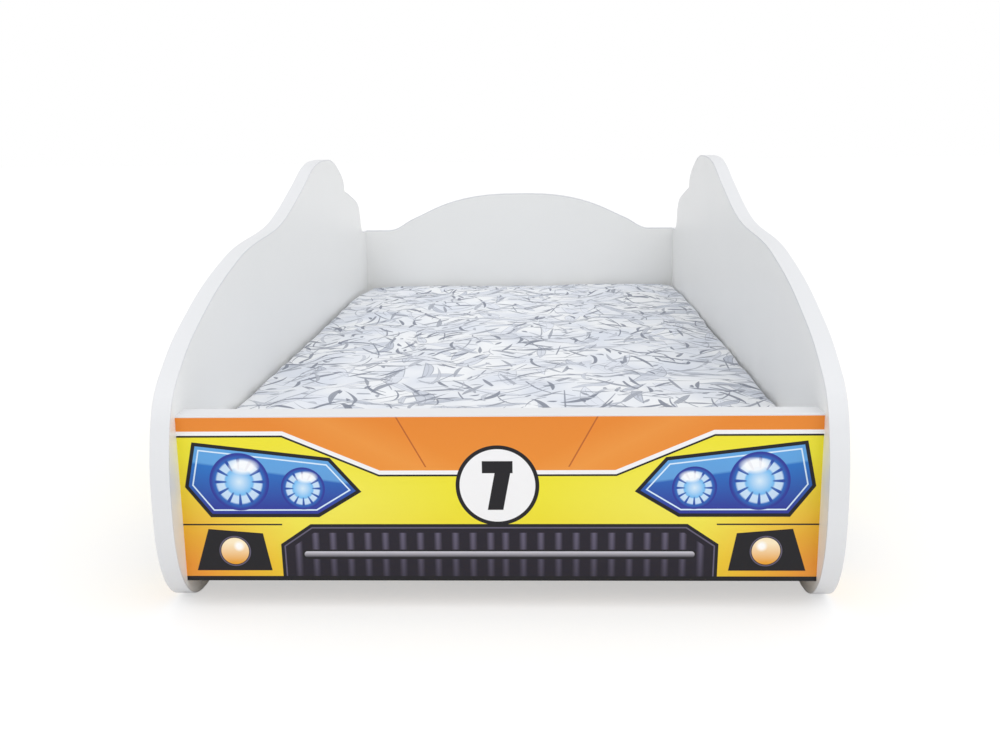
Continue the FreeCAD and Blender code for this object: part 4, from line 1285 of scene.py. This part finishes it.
# %% The printed cloth
CLOTH_WHITE = ink(231, 233, 236)
CLOTH_BLUE = ink(212, 217, 227)
LEAF_PALE = ink(217, 221, 230)
LEAF_MIDDLE = ink(178, 184, 197)
LEAF_DARK = ink(118, 124, 138)
LINE_GREY = ink(126, 132, 146)
LEAF_LAYERS = (  # cells per metre, half length and half width in mm, seed, share, dark
    (9, 55, 13.0, 3.7, 1.00, 0.0),
    (12, 44, 7.0, 11.1, 0.90, 0.3),
    (10, 62, 0.8, 23.9, 1.00, 0.9),
    (15, 40, 2.2, 41.7, 0.90, 0.7),
    (16, 34, 4.2, 5.9, 0.70, 0.6),
    (18, 36, 0.8, 31.3, 1.00, 0.9),
    (22, 24, 2.6, 17.3, 0.75, 0.9),
    (29, 8, 2.4, 8.7, 0.55, 1.0),
)
WEAVE_SCALE = 900
CLOTH_SHEEN = {"specular_ior_level": 0.2, "sheen_weight": 0.1}

printed_cloth, start = new_finish("printed_cloth")
flat = start.node("UVMap", {"uv_map": "cloth"})
colour = blend(ramp(noise(flat, 9), 0.40, 0.66), CLOTH_WHITE, CLOTH_BLUE)
for cells, long, wide, seed, share, dark in LEAF_LAYERS:
    fill, line, tone = leaves(flat, cells, long * MM, wide * MM, seed, share)
    body = blend((tone * 1.3 + (dark - 0.65)).clear(), LEAF_PALE,
                 LEAF_DARK if dark > 0.5 else LEAF_MIDDLE)
    colour = blend(fill * 0.9, colour, body)
    colour = blend(line * (0.35 + tone * 0.5), colour, LINE_GREY)
end_finish(start, colour, 0.85, bump(noise(flat, WEAVE_SCALE, 1), 0.25, 0.3 * MM),
           **CLOTH_SHEEN)
cover.data.materials.append(printed_cloth)
print("cover printed with", len(LEAF_LAYERS), "layers of leaves")

# %% [markdown]
# The lower half is plain white cloth, and the block inside is foam, with pores that are
# drawn as small cells. Each pore is painted darker in its middle than at its walls: painted
# shade in the hollow.

# %% The plain cloth and the foam
plain_cloth, start = new_finish("plain_cloth")
point = place_on(start)[0]
colour = blend(noise(point, 20), ink(236, 236, 238), ink(228, 229, 233))
end_finish(start, colour, 0.9, bump(noise(point, WEAVE_SCALE, 1), 0.3, 0.3 * MM),
           **CLOTH_SHEEN)
base.data.materials.append(plain_cloth)

foam_finish, start = new_finish("foam")
point = place_on(start)[0]
pores = point.node("TexVoronoi", values={"Vector": point, "Scale": 500}, out="Distance")
# the middle of each pore is painted darker than its walls: painted shade
end_finish(start, blend(pores, ink(216, 204, 168), ink(240, 232, 204)), 0.95,
           bump(pores, 0.6, 0.6 * MM), specular_ior_level=0.15)
foam_mesh.materials.append(foam_finish)
foam = stand("foam_block", foam_mesh)
print("foam block", len(foam.data.polygons), "faces")

# %% [markdown]
# ## Rows of small things
#
# Stitches, zip teeth and staples are the same small thing many times over. Geometry Nodes
# suit them: a tree takes a path, puts points along it at an even pitch and sets one piece on
# each point. Its sizes are named inputs, so the same tree sews the seam and the zip's tape.
# At the end the copies are made real, and the result becomes a plain mesh.

# %% A tree with named sizes
def new_tree(name, sizes, build, finish):
    """A tree: a path and some sizes go in, and the pieces that build makes come out."""
    tree = bpy.data.node_groups.new(name, "GeometryNodeTree")
    tree.interface.new_socket("Path", in_out="INPUT", socket_type="NodeSocketGeometry")
    tree.interface.new_socket("Pieces", in_out="OUTPUT", socket_type="NodeSocketGeometry")
    for size in sizes:
        tree.interface.new_socket(size, in_out="INPUT", socket_type="NodeSocketFloat")
    group = tree.nodes.new("NodeGroupInput")
    given = {size: Wire(tree, group.outputs[size]) for size in ("Path", *sizes)}
    pieces = build(given)
    real = pieces.node("GeometryNodeRealizeInstances", values={0: pieces})
    done = real.node("GeometryNodeSetMaterial", values={"Geometry": real,
                                                        "Material": finish})
    end = tree.nodes.new("NodeGroupOutput")
    tree.links.new(done.socket, end.inputs["Pieces"])
    return tree


def grow(name, places, edges, tree, sizes):
    """Runs a tree on a path of points and returns what grew as a plain mesh."""
    path = bpy.data.meshes.new(name)
    path.from_pydata([tuple(place) for place in places], edges, [])
    piece = stand(name, path)
    grower = piece.modifiers.new("grow", "NODES")
    grower.node_group = tree
    for socket in tree.interface.items_tree:
        if socket.in_out == "INPUT" and socket.name in sizes:
            grower[socket.identifier] = sizes[socket.name]
    apply_modifiers(piece)
    print(name, len(piece.data.polygons), "faces")
    return piece


def closed(places):
    """The edges that join places into a ring."""
    return [(i, (i + 1) % len(places)) for i in range(len(places))]


print("a ring of four places is joined by", closed(range(4)))

# %% [markdown]
# Three trees go round the cover: a row of stitches, a row of zip teeth and a tape. All of
# them make the path a curve whose normal stays level, so nothing twists on the way.

# %% Trees for rows and for a tape
def vector(x, y, z):
    wire = next(w for w in (x, y, z) if isinstance(w, Wire))
    return wire.node("CombineXYZ", values={0: x, 1: y, 2: z})


def level_curve(given):
    """The path as a curve that keeps one axis level."""
    path = given["Path"].node("GeometryNodeMeshToCurve", values={0: given["Path"]})
    return path.node("GeometryNodeSetCurveNormal", {"mode": "Z_UP"}, {"Curve": path})


def points_along(given):
    """Points at an even pitch, and how each is turned to follow the path."""
    level = level_curve(given)
    even = level.node("GeometryNodeResampleCurve", {"mode": "LENGTH"},
                      {"Curve": level, "Length": given["Pitch"]})
    places = even.node("GeometryNodeCurveToPoints", {"mode": "EVALUATED"}, {"Curve": even})
    return places, Wire(even.tree, places.socket.node.outputs["Rotation"])


def build_stitches(given):
    """One oval of thread on each point, long along the path."""
    places, turned = points_along(given)
    oval = places.node("GeometryNodeMeshUVSphere", values={"Segments": 6, "Rings": 4,
                                                           "Radius": 0.5})
    return places.node("GeometryNodeInstanceOnPoints", values={
        "Points": places, "Instance": oval, "Rotation": turned,
        "Scale": vector(given["Thick"], given["Thick"], given["Long"])})


def build_teeth(given):
    """Teeth that reach across the zip from above and from below in turn."""
    places, turned = points_along(given)
    tooth = places.node("GeometryNodeMeshCube", values={
        "Size": vector(given["Deep"], given["Tall"], given["Long"])})
    teeth = places.node("GeometryNodeInstanceOnPoints", values={
        "Points": places, "Instance": tooth, "Rotation": turned})
    number = places.node("GeometryNodeInputIndex")
    reach = (number.math("MODULO", 2) * 2 - 1) * given["Reach"]
    return teeth.node("GeometryNodeTranslateInstances",
                      values={0: teeth, "Translation": vector(0, 0, reach),
                              "Local Space": False})


def build_tape(given):
    """A flat woven tape that stands on its edge along the path."""
    level = level_curve(given)
    section = level.node("GeometryNodeCurvePrimitiveQuadrilateral",
                         values={"Width": given["Thick"], "Height": given["Wide"]})
    return level.node("GeometryNodeCurveToMesh", values={"Curve": level,
                                                         "Profile Curve": section})


print("a tree can build:", build_stitches.__name__, build_teeth.__name__, build_tape.__name__)

# %% [markdown]
# The thread and the zip's cloth are a shade apart, so the stitches can be seen. The teeth
# are plastic and shine a little.

# %% Thread, tape and teeth
thread = plain_finish("thread", ink(236, 236, 238), ink(220, 222, 228), 0.75, 3000,
                      0.1 * MM, specular_ior_level=0.25)
zip_cloth = plain_finish("zip_tape", ink(228, 229, 233), ink(212, 214, 220), 0.85, 2200,
                         0.2 * MM, specular_ior_level=0.2)
zip_plastic = plain_finish("zip_teeth", ink(240, 240, 241), ink(228, 229, 232), 0.35, 900,
                           0.05 * MM, specular_ior_level=0.5)
stitch_tree = new_tree("stitch_row", ("Pitch", "Long", "Thick"), build_stitches, thread)
tooth_tree = new_tree("zip_row", ("Pitch", "Long", "Tall", "Deep", "Reach"), build_teeth,
                      zip_plastic)
tape_tree = new_tree("tape", ("Wide", "Thick"), build_tape, zip_cloth)
print("trees:", stitch_tree.name, tooth_tree.name, tape_tree.name)

# %% [markdown]
# ## Seam and zip
#
# The path of a seam is found as a sewing machine's foot would find it: by touching the
# cover. A ray is shot at the cloth from outside at every few millimetres of the way round,
# and the points where the rays land become the path.

# %% Paths round the cover
WAY_CORNER = 34 * MM
WAY_STEP = 9 * MM
RAY_START = 60 * MM
ARC_STEPS = 8
SEAM_DEPTH = 5 * MM
THREAD_LIFT = 0.1 * MM
HEM_ABOVE = 2 * MM


def way_round():
    """Places and outward directions on a rectangle with round corners, on the cushion."""
    reach_x = cushion_high.x - WAY_CORNER
    reach_y = cushion_high.y - cushion_middle - WAY_CORNER
    way = []
    corners = ((1, 1, 0), (-1, 1, 1), (-1, -1, 2), (1, -1, 3))
    for hand_x, hand_y, quarter in corners:
        for part in range(ARC_STEPS + 1):
            angle = (quarter + part / ARC_STEPS) * math.pi / 2
            outward = Vector((math.cos(angle), math.sin(angle), 0))
            centre = Vector((hand_x * reach_x, cushion_middle + hand_y * reach_y, 0))
            way.append((centre + outward * WAY_CORNER, outward))
    filled = []
    for (place, outward), (after, turned) in zip(way, way[1:] + way[:1]):
        steps = max(1, round((after - place).length / WAY_STEP))
        for step in range(steps):
            share = step / steps
            filled.append((place.lerp(after, share), outward.lerp(turned, share)))
    return filled


def path_on(piece, level, slope, lift):
    """Where rays from outside land on a piece, lifted off it by a small amount."""
    graph = bpy.context.evaluated_depsgraph_get()
    skin = BVHTree.FromObject(piece, graph)
    places = []
    for place, outward in way_round():
        towards = (-outward + Vector((0, 0, -slope))).normalized()
        aim = Vector((place.x, place.y, level))
        hit = skin.ray_cast(aim - towards * RAY_START, towards)
        if hit[0] is not None:
            places.append(hit[0] - towards * lift)
    return places


seam = path_on(cover, cushion_high.z - SEAM_DEPTH, 1.0, THREAD_LIFT)
hem = path_on(cover, ZIP_LEVEL + HEM_ABOVE, 0.0, 0.0)
print("seam path has", len(seam), "points, zip path", len(hem))

# %% [markdown]
# The zip is made flat, so its path is levelled and pushed out from the cover, a little more
# for each layer: first the tape, then the two rows of stitches on it, then the teeth.

# %% Sew the seam and fit the zip
TAPE_WIDE = 12 * MM
TAPE_THICK = 0.5 * MM
STITCHED_AT = 4.4 * MM
TEETH_LIFT = 0.5 * MM
STITCH = {"Pitch": 4.5 * MM, "Long": 3.3 * MM, "Thick": 0.75 * MM}
TEETH = {"Pitch": 1.9 * MM, "Long": 1.25 * MM, "Tall": 3.2 * MM, "Deep": 1.5 * MM,
         "Reach": 0.8 * MM}


def pushed(places, distance, level):
    """The zip's path: level, and pushed out from the cover's middle."""
    moved = []
    for place in places:
        past_x, past_y = beyond(place.x, place.y)
        away = Vector((math.copysign(past_x > 0, place.x),
                       math.copysign(past_y > 0, place.y - cushion_middle), 0))
        moved.append(Vector((place.x, place.y, level)) + away.normalized() * distance)
    return moved


tape_way = pushed(hem, TAPE_THICK / 2, ZIP_LEVEL)
teeth_way = pushed(hem, TAPE_THICK + TEETH_LIFT, ZIP_LEVEL)
sewn = [grow("seam_stitches", seam, closed(seam), stitch_tree, STITCH)]
for name, level in (("upper_zip_stitches", ZIP_LEVEL + STITCHED_AT),
                    ("lower_zip_stitches", ZIP_LEVEL - STITCHED_AT)):
    way = pushed(hem, TAPE_THICK, level)
    sewn.append(grow(name, way, closed(way), stitch_tree, STITCH))
zip_tape = grow("zip_tape", tape_way, closed(tape_way), tape_tree,
                {"Wide": TAPE_WIDE, "Thick": TAPE_THICK})
zip_teeth = grow("zip_teeth", teeth_way, closed(teeth_way), tooth_tree, TEETH)

# %% [markdown]
# The slider is cast metal: a body that wedges the teeth together, a bridge, and a flat
# pull. It is parked at the foot end, where a parent can reach it.

# %% The zip's slider
SLIDER_AT = 0.22
SLIDER_OUT = 1 * MM
SLIDER_PARTS = (  # shift along and out, size and rounding in mm, then the taper
    ((0, 0), (11, 3.4, 8.5), 0.9, 0.72),
    ((0, -2.2), (6, 1.6, 2.6), 0.6, 1.0),
    ((-14, -2.0), (24, 1.2, 6.0), 0.5, 1.0),
)


def rounded_block(form, centre, size, round_off, taper):
    """A block with rounded edges, narrower at its +X end by the taper."""
    made = bmesh.ops.create_cube(form, size=1)["verts"]
    for vert in made:
        vert.co = Vector(vert.co[i] * size[i] for i in range(3))
        if vert.co.x > 0:
            vert.co.z *= taper
        vert.co += centre
    edges = list({edge for vert in made for edge in vert.link_edges})
    bmesh.ops.bevel(form, geom=edges, offset=round_off, segments=3, affect="EDGES",
                    profile=0.5)


slider_at = Vector((SLIDER_AT, cushion_low.y, ZIP_LEVEL))
slider_at.y = min(teeth_way, key=lambda place: (place - slider_at).length).y - SLIDER_OUT
slider_form = bmesh.new()
for (along, out), size, round_off, taper in SLIDER_PARTS:
    rounded_block(slider_form, slider_at + Vector((along, out, 0)) * MM, Vector(size) * MM,
                  round_off * MM, taper)
slider_mesh = bpy.data.meshes.new("zip_slider")
slider_form.to_mesh(slider_mesh)
slider_form.free()
slider_mesh.materials.append(cast)
zip_slider = stand("zip_slider", slider_mesh)
print("slider stands", round(abs(slider_at.y - foot_high.y) / MM, 1), "mm from the foot end")

# %% [markdown]
# ## Staples
#
# The webbing is stapled to each slat from below, two staples for each crossing. Only the
# crown of a staple and the start of its legs can be seen.

# %% Staples on the webbing
CROWN = 10 * MM
WIRE_WIDE = 1.2 * MM
WIRE_THICK = 0.6 * MM
LEG = 1.6 * MM
STAPLE_APART = 24 * MM


def build_staple(given):
    """A crown with two short legs that go up into the tape."""
    crown = given["Path"].node("GeometryNodeMeshCube", values={
        "Size": vector(given["Crown"], given["Wide"], given["Thick"])})
    leg = crown.node("GeometryNodeMeshCube", values={
        "Size": vector(given["Thick"], given["Wide"], given["Leg"])})
    legs = [leg.node("GeometryNodeTransform", values={
        "Geometry": leg,
        "Translation": vector((given["Crown"] - given["Thick"]) * (0.5 * hand), 0,
                              (given["Leg"] - given["Thick"]) * 0.5)})
            for hand in (-1, 1)]
    join = crown.tree.nodes.new("GeometryNodeJoinGeometry")
    for part in (crown, *legs):
        crown.tree.links.new(part.socket, join.inputs[0])
    staple = Wire(crown.tree, join.outputs[0])
    return staple.node("GeometryNodeInstanceOnPoints",
                       values={"Points": given["Path"], "Instance": staple})


staple_tree = new_tree("staple", ("Crown", "Wide", "Thick", "Leg"), build_staple, plated)
staple_places = []
for name in slat_names:
    slat_low, slat_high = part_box(name)
    for hand in (-1, 1):
        for side in (-0.5, 0.5):
            staple_places.append((hand * (tape_low.x + tape_high.x) / 2,
                                  (slat_low.y + slat_high.y) / 2 + side * STAPLE_APART,
                                  tape_low.z - WIRE_THICK / 2))
staples = grow("tape_staples", staple_places, [], staple_tree,
               {"Crown": CROWN, "Wide": WIRE_WIDE, "Thick": WIRE_THICK, "Leg": LEG})

# %% [markdown]
# ## The pieces and their bodies
#
# Each new piece rides on the body that it belongs to. The two halves of the cover and the
# foam also stand for the three plain solids that held their place.

# %% Ride and replace
bpy.data.objects.remove(block)
for piece, node, slot in ((cover, "mattress_cover", "printed_cover_cloth"),
                          (base, "mattress_base_cloth", "plain_cover_cloth"),
                          (foam, "mattress_core", "foam")):
    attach(piece, "mattress")
    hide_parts(node)
for piece in (*sewn, zip_tape, zip_teeth, zip_slider):
    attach(piece, "mattress")
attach(staples, "bed_frame")
